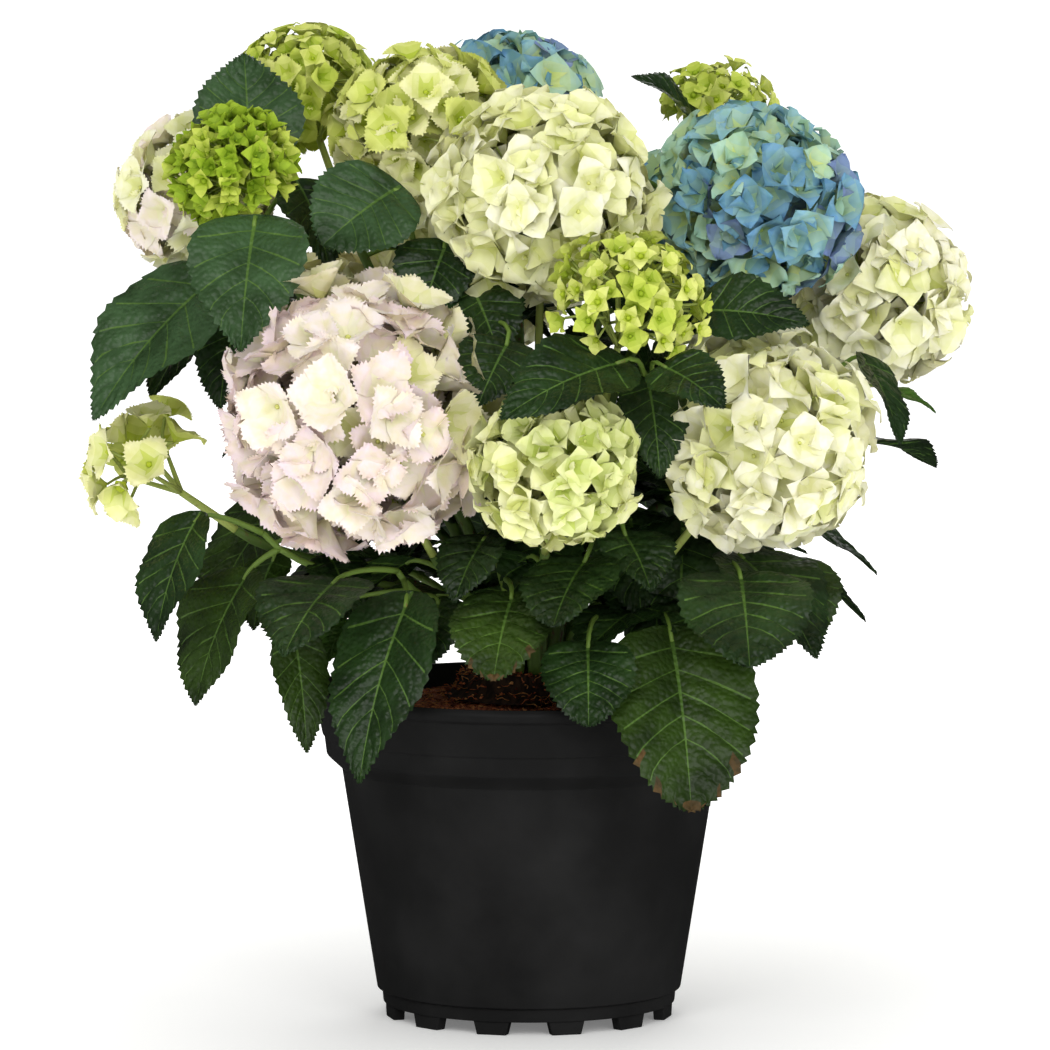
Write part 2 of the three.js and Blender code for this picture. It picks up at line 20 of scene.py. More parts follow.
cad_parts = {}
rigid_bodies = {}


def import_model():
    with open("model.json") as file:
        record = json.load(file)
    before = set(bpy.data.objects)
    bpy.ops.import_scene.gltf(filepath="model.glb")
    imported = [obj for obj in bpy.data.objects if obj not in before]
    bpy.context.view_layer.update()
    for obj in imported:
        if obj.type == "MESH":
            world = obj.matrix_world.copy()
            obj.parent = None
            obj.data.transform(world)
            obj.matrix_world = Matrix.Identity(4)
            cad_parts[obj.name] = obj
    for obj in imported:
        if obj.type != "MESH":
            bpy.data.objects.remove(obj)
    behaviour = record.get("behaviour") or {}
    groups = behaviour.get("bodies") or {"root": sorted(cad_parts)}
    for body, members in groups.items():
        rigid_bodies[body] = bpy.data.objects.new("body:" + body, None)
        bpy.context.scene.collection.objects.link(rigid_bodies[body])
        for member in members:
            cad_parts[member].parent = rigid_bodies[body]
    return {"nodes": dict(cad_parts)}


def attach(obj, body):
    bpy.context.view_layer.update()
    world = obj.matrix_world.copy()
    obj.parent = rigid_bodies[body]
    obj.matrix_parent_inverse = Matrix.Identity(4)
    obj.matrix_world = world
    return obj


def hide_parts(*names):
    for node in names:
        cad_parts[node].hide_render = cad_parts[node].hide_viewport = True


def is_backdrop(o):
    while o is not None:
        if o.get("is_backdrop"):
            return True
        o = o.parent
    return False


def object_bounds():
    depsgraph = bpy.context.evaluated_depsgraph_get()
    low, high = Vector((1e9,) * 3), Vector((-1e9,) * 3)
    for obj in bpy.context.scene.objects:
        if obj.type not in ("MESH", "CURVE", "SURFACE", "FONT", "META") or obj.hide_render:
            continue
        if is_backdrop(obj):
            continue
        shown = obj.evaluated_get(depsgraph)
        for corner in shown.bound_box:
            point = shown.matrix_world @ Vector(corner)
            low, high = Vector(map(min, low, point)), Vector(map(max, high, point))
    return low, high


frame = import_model()

MM = 0.001
UP = Vector((0, 0, 1))
GOLDEN_ANGLE = math.pi * (3 - math.sqrt(5))
log = logging.getLogger("hydrangea")


# ---------- Small tools ----------
class Chance:
    """Repeatable random numbers, by the rule that the solids use."""

    def __init__(self, seed: int) -> None:
        """Starts the row of numbers.

        Args:
            seed: which row it is.
        """
        self.state = seed & 0xFFFFFFFF

    def __call__(self) -> float:
        """Returns the next number, from 0 to 1."""
        self.state = (self.state * 1664525 + 1013904223) & 0xFFFFFFFF
        return self.state / 2**32

    def between(self, low: float, high: float) -> float:
        """Returns the next number, from low to high."""
        return low + (high - low) * self()


def linear(code: str) -> tuple[float, float, float, float]:
    """Turns an sRGB hex colour to linear.

    Args:
        code: six hex digits after a hash.

    Returns:
        Red, green, blue and an alpha of 1.
    """
    shares = [int(code[place : place + 2], 16) / 255 for place in (1, 3, 5)]
    red, green, blue = (c / 12.92 if c <= 0.04045 else ((c + 0.055) / 1.055) ** 2.4 for c in shares)
    return red, green, blue, 1.0


def between_colours(first: str, second: str, share: float) -> tuple[float, float, float, float]:
    """Returns the linear colour that lies a share of the way from the first hex colour to the second."""
    red, green, blue, _ = (a + (b - a) * share for a, b in zip(linear(first), linear(second)))
    return red, green, blue, 1.0


def add_node(
    tree: bpy.types.NodeTree, kind: str, inputs: dict | None = None, **settings: object
) -> bpy.types.Node:
    """Adds a node with its settings and links.

    Args:
        tree: the tree that gets the node.
        kind: the node's type.
        inputs: a value, or the socket that is linked to it, for each input by name or number.
        settings: the node's own properties.

    Returns:
        The new node.
    """
    node = tree.nodes.new(kind)
    for name, value in settings.items():
        setattr(node, name, value)
    for key, value in (inputs or {}).items():
        if isinstance(value, bpy.types.NodeSocket):
            tree.links.new(value, node.inputs[key])
        else:
            node.inputs[key].default_value = value
    return node


class Sheets:
    """Gathers points, faces and the finish of each face, and makes one mesh of them."""

    def __init__(self) -> None:
        """Starts with nothing."""
        self.points: list[np.ndarray] = []
        self.faces: list[tuple[int, ...]] = []
        self.marks: list[int] = []
        self.count = 0

    def add(
        self, points: np.ndarray, faces: Sequence[Sequence[int]], marks: Iterable[int] | None = None
    ) -> None:
        """Adds one patch.

        Args:
            points: its points in millimetres, one in a row.
            faces: the numbers of each face's corners, counted from the patch's first point.
            marks: the number of each face's finish, or None if all have the first.
        """
        self.faces += [tuple(corner + self.count for corner in face) for face in faces]
        self.marks += [0] * len(faces) if marks is None else marks
        self.points.append(points)
        self.count += len(points)

    def mesh(self, name: str, finishes: Sequence[bpy.types.Material]) -> bpy.types.Mesh:
        """Makes the mesh, in metres and smoothly shaded.

        Args:
            name: the mesh's name.
            finishes: the materials that the marks count.

        Returns:
            The mesh.
        """
        mesh = bpy.data.meshes.new(name)
        mesh.from_pydata((np.concatenate(self.points) * MM).tolist(), [], self.faces)
        for finish in finishes:
            mesh.materials.append(finish)
        mesh.polygons.foreach_set("material_index", self.marks)
        mesh.polygons.foreach_set("use_smooth", [True] * len(self.faces))
        mesh.update()
        return mesh


def add_object(name: str, data: bpy.types.ID) -> bpy.types.Object:
    """Returns a new object of the scene with the data."""
    thing = bpy.data.objects.new(name, data)
    bpy.context.scene.collection.objects.link(thing)
    return thing


def place_piece(mesh: bpy.types.Mesh, slot: str, nodes: Sequence[str] = ()) -> bpy.types.Object:
    """Puts a finished mesh in the scene as a piece of the plant.

    Args:
        mesh: the mesh, with its place in its points.
        slot: the record's material slot, which is not used.
        nodes: the solids that the piece stands for.

    Returns:
        The piece.
    """
    piece = add_object(mesh.name, mesh)
    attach(piece, "root")
    if nodes:
        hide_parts(*nodes)
    triangles = sum(len(face.vertices) - 2 for face in mesh.polygons)
    log.info("%s: %d triangles", piece.name, triangles)
    return piece


def evaluated_mesh(carrier: bpy.types.Object, name: str) -> bpy.types.Mesh:
    """Turns the result of a carrier's modifiers into a plain mesh and removes the carrier.

    Args:
        carrier: an object whose modifiers make the shape.
        name: the new mesh's name.

    Returns:
        The mesh, without the attributes that only its making needed.
    """
    graph = bpy.context.evaluated_depsgraph_get()
    mesh = bpy.data.meshes.new_from_object(carrier.evaluated_get(graph), depsgraph=graph)
    mesh.name = name
    for spare in [each.name for each in mesh.attributes if each.name in PointCloud.NAMES]:
        mesh.attributes.remove(mesh.attributes[spare])
    carrier.modifiers.clear()
    bpy.data.objects.remove(carrier)
    return mesh


def grid_faces(rows: int, columns: int, ring: bool = False) -> np.ndarray:
    """Returns the faces of a grid of points that runs row by row.

    Args:
        rows: how many rows of faces there are.
        columns: how many columns of faces there are.
        ring: whether the last column joins the first.

    Returns:
        Four corners in each row.
    """
    across = columns if ring else columns + 1
    row, column = np.meshgrid(np.arange(rows), np.arange(columns), indexing="ij")
    beside = (column + 1) % across
    low, high = row * across, (row + 1) * across
    return np.stack([low + column, low + beside, high + beside, high + column], axis=-1).reshape(-1, 4)


def circle(sides: int) -> np.ndarray:
    """Returns the angles of evenly spaced points on a circle."""
    return np.linspace(0, math.tau, sides, endpoint=False)


def fan(sides: int, start: int, hub: int, back: bool = False) -> list[tuple[int, int, int]]:
    """Returns the triangles between a ring of points and a hub, which look the other way if back is set."""
    rim = [(start + side, start + (side + 1) % sides) for side in range(sides)]
    return [(after, here, hub) if back else (here, after, hub) for here, after in rim]


def on_ball(height: float, turn: float) -> Vector:
    """Returns the point of the unit ball at a height and an angle round it."""
    ring = math.sqrt(1 - height * height)
    return Vector((ring * math.cos(turn), ring * math.sin(turn), height))


def level(turn: float, rise: float = 0.0) -> Vector:
    """Returns one step along the level at an angle, with a rise."""
    return Vector((math.cos(turn), math.sin(turn), rise))


# ---------- Geometry Nodes ----------
def new_tree(name: str, sockets: Iterable[tuple[str, str]]) -> tuple[bpy.types.NodeTree, bpy.types.Node]:
    """Starts a tree that makes geometry.

    Args:
        name: the tree's name.
        sockets: the name and the kind of each input.

    Returns:
        The tree and the node of its inputs.
    """
    tree = bpy.data.node_groups.new(name, "GeometryNodeTree")
    for socket, kind in sockets:
        tree.interface.new_socket(socket, in_out="INPUT", socket_type=f"NodeSocket{kind}")
    tree.interface.new_socket("Result", in_out="OUTPUT", socket_type="NodeSocketGeometry")
    return tree, add_node(tree, "NodeGroupInput")


def deal(
    tree: bpy.types.NodeTree, geometry: bpy.types.NodeSocket, row: bpy.types.NodeSocket,
    finishes: Iterable[tuple[int, bpy.types.Material]],
) -> None:
    """Gives each part of a tree's geometry the finish of its number, and ends the tree with it.

    Args:
        tree: the tree.
        geometry: the geometry.
        row: each part's number.
        finishes: the numbers and their finishes.
    """
    for number, finish in finishes:
        mine = add_node(
            tree, "FunctionNodeCompare", {"A": row, "B": float(number), "Epsilon": 0.1},
            data_type="FLOAT", operation="EQUAL",
        )
        geometry = add_node(
            tree, "GeometryNodeSetMaterial",
            {"Geometry": geometry, "Selection": mine.outputs[0], "Material": finish},
        ).outputs[0]
    add_node(tree, "NodeGroupOutput", {0: geometry})


def grown_mesh(
    carrier: bpy.types.Object, tree: bpy.types.NodeTree, values: dict[str, object], name: str
) -> bpy.types.Mesh:
    """Runs a tree on a carrier, which it uses up.

    Args:
        carrier: the object that the tree works on.
        tree: the tree.
        values: the values of its inputs, by name.
        name: the new mesh's name.

    Returns:
        The result as a plain mesh.
    """
    modifier = carrier.modifiers.new(tree.name, "NODES")
    modifier.node_group = tree
    sockets = {each.name: each.identifier for each in tree.interface.items_tree if each.in_out == "INPUT"}
    for key, value in values.items():
        modifier[sockets[key]] = value
    return evaluated_mesh(carrier, name)


# ---------- Finishes ----------
class Coat:
    """A material in the making: one Principled shader, and patterns that follow the place on the object."""

    def __init__(self, name: str, settings: dict[str, object]) -> None:
        """Starts the material.

        Args:
            name: what the finish is.
            settings: the shader's own values, by the names of its inputs.
        """
        self.material = bpy.data.materials.new(name)
        self.material.use_nodes = True
        self.tree = self.material.node_tree
        self.tree.nodes.clear()
        self.shader = add_node(self.tree, "ShaderNodeBsdfPrincipled", settings)
        self.place = add_node(self.tree, "ShaderNodeTexCoord").outputs["Object"]
        add_node(self.tree, "ShaderNodeOutputMaterial", {"Surface": self.shader.outputs[0]})

    def feed(self, name: str, source: bpy.types.NodeSocket) -> None:
        """Links a source to one of the shader's inputs."""
        self.tree.links.new(source, self.shader.inputs[name])

    def mottle(
        self, width: float, detail: float, stops: Iterable[tuple[float, Sequence[float]]],
        place: bpy.types.NodeSocket | None = None,
    ) -> bpy.types.NodeSocket:
        """Colours the surface in patches.

        Args:
            width: of a patch, in millimetres.
            detail: how many finer sizes of patch there are.
            stops: the share of the noise and the linear colour of each of the two tones.
            place: what the patches follow, where it isn't the place on the object.

        Returns:
            The noise that makes the patches.
        """
        where = self.place if place is None else place
        noise = add_node(
            self.tree, "ShaderNodeTexNoise", {"Vector": where, "Scale": 1 / (width * MM), "Detail": detail}
        ).outputs[0]
        tones = add_node(self.tree, "ShaderNodeValToRGB", {0: noise})
        for stop, (share, colour) in zip(tones.color_ramp.elements, stops):
            stop.position = share
            stop.color = colour
        self.feed("Base Color", tones.outputs[0])
        return noise

    def emboss(self, height: bpy.types.NodeSocket, strength: float, distance: float) -> None:
        """Gives the surface fine relief.

        Args:
            height: what raises it.
            strength: how much of the relief is kept.
            distance: how far it is raised at most, in metres.
        """
        bump = add_node(
            self.tree, "ShaderNodeBump", {"Height": height, "Strength": strength, "Distance": distance}
        )
        self.feed("Normal", bump.outputs[0])


@dataclass(frozen=True)
class SepalFinish:
    """Living sepal: thin, soft and matte, faintly clouded, with light that passes a little way through it."""

    name: str
    colour: tuple[float, float, float, float]
    cell: float = 0.7  # width of the fine puckers, drawn about twice as coarse as real ones so that they show
    cloud: float = 7.0  # width of the faint clouds
    shade: tuple[float, float, float] = (0.93, 0.94, 0.76)  # how much of the colour is left in a cloud

    def make(self) -> bpy.types.Material:
        """Returns the material."""
        coat = Coat(self.name, {
            "Roughness": 0.62, "Specular IOR Level": 0.22, "Subsurface Weight": 0.12,
            "Subsurface Radius": (1.0, 0.9, 0.7), "Subsurface Scale": 0.002,
        })
        dim = tuple(part * left for part, left in zip(self.colour, self.shade))
        coat.mottle(self.cloud, 2.0, ((0.35, (*dim, 1.0)), (0.6, self.colour)))
        pucker = add_node(
            coat.tree, "ShaderNodeTexNoise",
            {"Vector": coat.place, "Scale": 1 / (self.cell * MM), "Detail": 2.0},
        )
        coat.emboss(pucker.outputs[0], 0.2, 0.0003)
        return coat.material


@dataclass(frozen=True)
class LeafFinish:
    """Thick green leaf: glossy, and quilted into small domes between its finest veins."""

    name: str
    deep: str
    light: str
    roughness: float = 0.42
    quilt: float = 3.0  # width of a dome
    patch: float = 22.0  # width of the darker and lighter patches

    def make(self) -> bpy.types.Material:
        """Returns the material."""
        coat = Coat(self.name, {"Roughness": self.roughness, "Specular IOR Level": 0.36})
        coat.mottle(self.patch, 3.0, ((0.35, linear(self.deep)), (0.68, linear(self.light))))
        domes = add_node(
            coat.tree, "ShaderNodeTexVoronoi",
            {"Vector": coat.place, "Scale": 1 / (self.quilt * MM), "Smoothness": 0.4}, feature="SMOOTH_F1",
        )
        height = add_node(coat.tree, "ShaderNodeMath", {0: 1.0, 1: domes.outputs[0]}, operation="SUBTRACT")
        coat.emboss(height.outputs[0], 0.75, 0.0012)
        return coat.material


@dataclass(frozen=True)
class StemFinish:
    """Green stem and bark: smooth young skin that turns brown in specks along the cane."""

    name: str
    skin: str
    speck: str
    specks: float = 0.6  # share of the noise below which the skin stays green
    fade: float = 0.1  # and over which it turns brown
    stretch: float = 0.35  # how much slower the specks change along the cane
    grain: float = 2.6  # width of a speck
    roughness: float = 0.5

    def make(self) -> bpy.types.Material:
        """Returns the material."""
        coat = Coat(self.name, {"Roughness": self.roughness, "Specular IOR Level": 0.35})
        longer = add_node(
            coat.tree, "ShaderNodeMapping", {"Vector": coat.place, "Scale": (1.0, 1.0, self.stretch)}
        )
        stops = ((self.specks, linear(self.skin)), (self.specks + self.fade, linear(self.speck)))
        coat.emboss(coat.mottle(self.grain, 4.0, stops, longer.outputs[0]), 0.5, 0.0005)
        return coat.material


@dataclass(frozen=True)
class PlasticFinish:
    """Injection-moulded black polypropylene, with the fine grain of the mould and a soft sheen."""

    name: str = "black_polypropylene"
    colour: str = "#1a1a1a"
    worn: str = "#262626"
    grain: float = 0.5  # width of the mould's grain
    bloom: float = 60.0  # width of the cloudy patches that handling leaves
    roughness: tuple[float, float] = (0.42, 0.56)  # where it is polished, and where it is worn

    def make(self) -> bpy.types.Material:
        """Returns the material."""
        coat = Coat(self.name, {"Specular IOR Level": 0.1})
        cloud = coat.mottle(self.bloom, 5.0, ((0.4, linear(self.colour)), (0.75, linear(self.worn))))
        low, high = self.roughness
        rough = add_node(coat.tree, "ShaderNodeMapRange", {"Value": cloud, "To Min": low, "To Max": high})
        coat.feed("Roughness", rough.outputs[0])
        grain = add_node(
            coat.tree, "ShaderNodeTexNoise",
            {"Vector": coat.place, "Scale": 1 / (self.grain * MM), "Detail": 2.0},
        )
        coat.emboss(grain.outputs[0], 0.3, 0.0001)
        return coat.material


@dataclass(frozen=True)
class PeatFinish:
    """Moist compost of bark and fibre: dull and crumbly."""

    name: str
    dark: str
    pale: str
    crumb: float = 1.6  # width of a crumb

    def make(self) -> bpy.types.Material:
        """Returns the material."""
        coat = Coat(self.name, {"Roughness": 0.95, "Specular IOR Level": 0.2})
        crumbs = coat.mottle(self.crumb, 6.0, ((0.38, linear(self.dark)), (0.66, linear(self.pale))))
        coat.emboss(crumbs, 1.0, 0.001)
        return coat.material


@dataclass(frozen=True)
class FloorFinish:
    """Matte white studio floor that runs out to plain white, and that black gloss mirrors only faintly."""

    name: str = "studio_floor"
    colour: str = "#f4f4f2"
    mirrored: str = "#4a4a4a"
    far: float = 0.9  # distance from the middle beyond which it gives off most light
    low: float = 0.14  # light that it gives off at the middle
    glow: float = 0.7  # and beyond the far distance

    def make(self) -> bpy.types.Material:
        """Returns the material."""
        white = linear("#ffffff")
        coat = Coat(self.name, {"Roughness": 0.9, "Specular IOR Level": 0.1, "Emission Color": white})
        rays = add_node(coat.tree, "ShaderNodeLightPath").outputs["Is Glossy Ray"]
        tones = {0: rays, 6: linear(self.colour), 7: linear(self.mirrored)}
        colour = add_node(coat.tree, "ShaderNodeMix", tones, data_type="RGBA")
        coat.feed("Base Color", colour.outputs[2])
        away = add_node(coat.tree, "ShaderNodeVectorMath", {0: coat.place}, operation="LENGTH")
        glow = add_node(
            coat.tree, "ShaderNodeMapRange",
            {"Value": away.outputs["Value"], "From Max": self.far, "To Min": self.low, "To Max": self.glow},
        )
        seen = add_node(coat.tree, "ShaderNodeMath", {0: 1.0, 1: rays}, operation="SUBTRACT")
        given = add_node(
            coat.tree, "ShaderNodeMath", {0: glow.outputs[0], 1: seen.outputs[0]}, operation="MULTIPLY"
        )
        coat.feed("Emission Strength", given.outputs[0])
        return coat.material


@functools.cache
def made(finish: object) -> bpy.types.Material:
    """Returns the material of a finish, which is made once."""
    return finish.make()


CANE_SKIN = StemFinish("green_cane", "#54702c", "#5d4227")
OLD_WOOD = StemFinish("old_wood", "#3c291b", "#22160f", specks=0.45, grain=3.5, roughness=0.9)
STALK_SKIN = StemFinish("leaf_stalk", "#6f8c3a", "#7d6234", specks=0.66)
RAY_SKIN = StemFinish("flower_ray", "#a3b25a", "#8f7f48", specks=0.62, grain=1.5)


class Tone(Enum):
    """The ages of leaf on the plant, each as its blade's finish; the grey tone is partly lightened by painted
    sheen.
    """

    DARK = LeafFinish("leaf_dark", "#172a0f", "#27411a")
    # a lighter grey-green: partly the leaf's own tone, partly painted sheen for the upper leaves that catch
    # the light
    GREY = LeafFinish("leaf_grey", "#294120", "#3e5c36", roughness=0.44)
    OLIVE = LeafFinish("leaf_olive", "#1e300b", "#334c14", roughness=0.46)
    FRESH = LeafFinish("leaf_fresh", "#325415", "#476f20", roughness=0.44)


VEIN = LeafFinish("leaf_vein", "#436124", "#587832", roughness=0.5)
SCORCH = LeafFinish("leaf_scorch", "#3c3216", "#5f4520", roughness=0.7, patch=6.0)


# ---------- Scattering by Geometry Nodes ----------
class PointCloud:
    """Points that carry what a scattered shape needs: how it is turned, its size, its shape and its tint."""

    NAMES = ("turn", "size", "shape", "tint", "zone")

    def __init__(self) -> None:
        """Starts with no points."""
        self.places: list[Vector] = []
        self.turns: list[Quaternion] = []
        self.sizes: list[float] = []
        self.shapes: list[int] = []
        self.tints: list[int] = []

    def add(self, place: Vector, turn: Quaternion, size: float, shape: int, tint: int) -> None:
        """Adds a point.

        Args:
            place: where it is, in millimetres.
            turn: how the shape is turned.
            size: the shape's scale, in millimetres.
            shape: the number of the shape among the templates.
            tint: the number of its tint.
        """
        self.places.append(place)
        self.turns.append(turn)
        self.sizes.append(size)
        self.shapes.append(shape)
        self.tints.append(tint)

    def carrier(self, name: str) -> bpy.types.Object:
        """Returns an object of loose points with the attributes."""
        mesh = bpy.data.meshes.new(name)
        mesh.from_pydata([place * MM for place in self.places], [], [])
        angles = [tuple(turn.to_euler()) for turn in self.turns]
        rows = {
            "turn": ("FLOAT_VECTOR", "vector", np.array(angles, np.float32).ravel()),
            "size": ("FLOAT_VECTOR", "vector", np.repeat(np.array(self.sizes, np.float32), 3) * MM),
            "shape": ("INT", "value", np.array(self.shapes, np.int32)),
            "tint": ("INT", "value", np.array(self.tints, np.int32)),
        }
        for key, (kind, member, values) in rows.items():
            mesh.attributes.new(key, kind, "POINT").data.foreach_set(member, values)
        return add_object(name, mesh)


@dataclass
class Scatter:
    """A Geometry Nodes tree that puts a template at each point, with a finish for each zone of each tint."""

    templates: bpy.types.Collection
    finishes: dict[int, bpy.types.Material]  # by tint * zones + zone
    zones: int

    def tree(self) -> bpy.types.NodeTree:
        """Returns the tree."""
        sockets = (("Points", "Geometry"), ("Templates", "Collection"), ("Scale", "Float"))
        tree, inputs = new_tree("scatter", sockets)
        source = add_node(
            tree, "GeometryNodeCollectionInfo",
            {"Collection": inputs.outputs["Templates"], "Separate Children": True, "Reset Children": True},
        )
        kinds = {"turn": "FLOAT_VECTOR", "size": "FLOAT_VECTOR", "shape": "INT", "tint": "INT", "zone": "INT"}
        read = {
            key: add_node(tree, "GeometryNodeInputNamedAttribute", {"Name": key}, data_type=kind).outputs[0]
            for key, kind in kinds.items()
        }
        turn = add_node(tree, "FunctionNodeEulerToRotation", {0: read["turn"]})
        scaled = add_node(
            tree, "ShaderNodeVectorMath", {0: read["size"], "Scale": inputs.outputs["Scale"]},
            operation="SCALE",
        )
        placed = add_node(
            tree, "GeometryNodeInstanceOnPoints",
            {
                "Points": inputs.outputs["Points"], "Instance": source.outputs[0], "Pick Instance": True,
                "Instance Index": read["shape"], "Rotation": turn.outputs[0], "Scale": scaled.outputs[0],
            },
        )
        geometry = add_node(tree, "GeometryNodeRealizeInstances", {0: placed.outputs[0]}).outputs[0]
        row = add_node(
            tree, "ShaderNodeMath", {0: read["tint"], 1: float(self.zones), 2: read["zone"]},
            operation="MULTIPLY_ADD",
        )
        deal(tree, geometry, row.outputs[0], sorted(self.finishes.items()))
        return tree

    def spread(self, cloud: PointCloud, name: str) -> bpy.types.Mesh:
        """Puts the templates at the points.

        Args:
            cloud: the points.
            name: the mesh's name.

        Returns:
            One mesh of all the copies.
        """
        values = {"Templates": self.templates, "Scale": 1.0}
        return grown_mesh(cloud.carrier(f"{name}_seeds"), self.tree(), values, name)


def template_collection(name: str, meshes: Sequence[bpy.types.Mesh]) -> bpy.types.Collection:
    """Returns a collection, outside the scene, of one object for each mesh, in their order."""
    collection = bpy.data.collections.new(name)
    for number, mesh in enumerate(meshes):
        collection.objects.link(bpy.data.objects.new(f"{name}_{number:02d}", mesh))
    return collection


# ---------- Florets ----------
class Margin(Enum):
    """How the edge of a sepal is cut."""

    POINTED = "pointed"
    TOOTHED = "toothed"


@dataclass(frozen=True)
class FloretForm:
    """A kind of floret. Lengths are shares of the floret's radius."""

    margin: Margin
    sepals: int = 4
    columns: int = 4
    breadth: float = 0.5  # half width of a sepal
    shoulder: float = 0.5  # where along it the sepal is broadest
    claw: float = 0.4  # its width at the eye, as a share of its breadth
    cup: float = 1.0  # how far the sepals rise from the eye
    recurve: float = 0.4  # how far their tips bend back
    crest: float = 0.6  # where they begin to bend back
    camber: float = 0.1  # how far their sides curl up
    ruffle: float = 0.09  # height of the waves in it
    tooth: float = 0.078  # length of a tooth on its edge
    eye: float = 0.085  # radius of the bead in the middle
    variants: int = 8
    seed: int = 5

    ROWS = (0.0, 0.24, 0.5, 0.77, 1.0)
    FREE_ROW = 2  # from which a sepal's sides stand clear of its neighbours
    TEETH = 3  # on a side, from one row to the next
    FULLNESS = (0.95, 1.8)  # from a sepal with a drawn-out point to a round one
    TIP = 0.06  # width of a sepal's end, as a share of its breadth
    ZONES = 5  # four rows of a sepal from the heart to the rim, and the eye
    EYE = 4
    EYE_SIDES = 5
    WAVES = (3.4, 4.2)  # how fast the ruffles follow one another, across and along
    CREASE = (0.06, 0.3)  # depth and width of the fold along the middle

    def outline(self, along: np.ndarray, fullness: float) -> np.ndarray:
        """Returns the half width of a sepal, as a share of its breadth, at shares of its length."""
        rising = self.claw + (1 - self.claw) * np.sin(math.pi / 2 * np.clip(along / self.shoulder, 0, 1))
        past = np.clip((along - self.shoulder) / (1 - self.shoulder), 0, 1)
        return np.where(along < self.shoulder, rising, 1 - (1 - self.TIP) * past**fullness)

    def sepal(
        self, chance: Chance, turn: float, lifted: float, opened: float
    ) -> tuple[np.ndarray, np.ndarray, list[tuple[int, int, int]]]:
        """Makes a sepal.

        Args:
            chance: where its unevenness comes from.
            turn: which way it points from the eye.
            lifted: how far it lies above its neighbours.
            opened: how flat the whole floret lies, as a factor of its cup.

        Returns:
            Its grid of points, the points of its teeth, and the teeth's faces.
        """
        along, across = np.meshgrid(self.ROWS, np.linspace(-1, 1, self.columns + 1), indexing="ij")
        length = chance.between(0.9, 1.08)
        cup, recurve = self.cup * opened * chance.between(0.9, 1.1), self.recurve * chance.between(0.6, 1.4)
        breadth = self.breadth * chance.between(0.88, 1.12)
        phase, skew = chance.between(0, 2 * math.pi), chance.between(-0.1, 0.1)
        fullness = chance.between(*self.FULLNESS)
        out = (0.05 + 0.95 * along - 0.1 * across**2 * along * (1 - along)) * length
        beside = across * self.outline(along, fullness) * breadth * length + skew * along**2
        radial = np.hypot(out, beside)
        rise = cup * radial - recurve * (np.clip(radial - self.crest, 0, 1) / (1 - self.crest)) ** 1.8
        rise = rise + self.camber * chance.between(-0.6, 1.6) * across**2 * along + lifted * along
        waves = np.sin(phase + self.WAVES[0] * across + self.WAVES[1] * along)
        rise = rise + self.ruffle * waves * along * (0.35 + 0.65 * across**2)
        crease = self.CREASE[0] * np.exp(-((across / self.CREASE[1]) ** 2)) * along * (1 - along)
        flat = np.stack([out, beside, rise - crease], axis=-1).reshape(-1, 3)
        cosine, sine = math.cos(turn), math.sin(turn)
        turned = flat @ np.array([[cosine, sine, 0], [-sine, cosine, 0], [0, 0, 1]])
        if self.margin is not Margin.TOOTHED:
            return turned, np.empty((0, 3)), []
        wide, last = self.columns + 1, len(self.ROWS) - 1
        rising = [row * wide for row in range(self.FREE_ROW, last + 1)]
        falling = [row * wide + self.columns for row in range(last, self.FREE_ROW - 1, -1)]
        centre = turned[(last // 2) * wide + self.columns // 2]
        points: list[np.ndarray] = []
        faces: list[tuple[int, int, int]] = []
        for first, second in [*zip(rising, rising[1:]), *zip(falling, falling[1:])]:
            stops = np.linspace(turned[first], turned[second], self.TEETH + 1)
            base = len(turned) + len(points)
            numbers = [first, *range(base, base + self.TEETH - 1), second]
            points += list(stops[1:-1])
            for step in range(self.TEETH):
                foot = (stops[step] + stops[step + 1]) / 2
                outward = (foot - centre) / np.linalg.norm(foot - centre)
                faces.append((numbers[step + 1], numbers[step], len(turned) + len(points)))
                points.append(foot + outward * self.tooth * chance.between(0.3, 1.7))
        return turned, np.array(points), faces

    def mesh(self, variant: int) -> bpy.types.Mesh:
        """Makes one of the kind's shapes, one radius across from the eye to the tips, looking up.

        Args:
            variant: which shape.

        Returns:
            The mesh, with the zone of each face.
        """
        chance = Chance(self.seed * 101 + variant)
        opened = 0.6 + 0.7 * (variant + 0.5) / self.variants
        points: list[np.ndarray] = []
        faces: list[tuple[int, ...]] = []
        zones: list[int] = []
        count = 0
        rows = len(self.ROWS) - 1
        for number in range(self.sepals):
            turn = 2 * math.pi * (number + chance.between(-0.08, 0.08)) / self.sepals
            grid, teeth, triangles = self.sepal(chance, turn, 0.05 * (number % 2), opened)
            patch = grid_faces(rows, self.columns)[:, ::-1] + count
            faces += [tuple(face) for face in patch.tolist()]
            zones += [face // self.columns for face in range(len(patch))]
            faces += [tuple(corner + count for corner in triangle) for triangle in triangles]
            zones += [rows - 1] * len(triangles)
            points += [grid, teeth]
            count += len(grid) + len(teeth)
        sides = self.EYE_SIDES
        ring = [(math.cos(turn) * self.eye, math.sin(turn) * self.eye) for turn in circle(sides)]
        eye = [(x, y, self.eye * 0.9) for x, y in ring]
        points.append(np.array([(0, 0, -0.02), *eye, (0, 0, self.eye * 1.9)]))
        for side in range(sides):
            first, second = count + 1 + side, count + 1 + (side + 1) % sides
            faces += [(count, second, first), (first, second, count + sides + 1)]
            zones += [self.EYE] * 2
        mesh = bpy.data.meshes.new("floret")
        mesh.from_pydata(np.concatenate(points).tolist(), [], faces)
        mesh.polygons.foreach_set("use_smooth", [True] * len(faces))
        mesh.attributes.new("zone", "INT", "FACE").data.foreach_set("value", np.array(zones, np.int32))
        return mesh


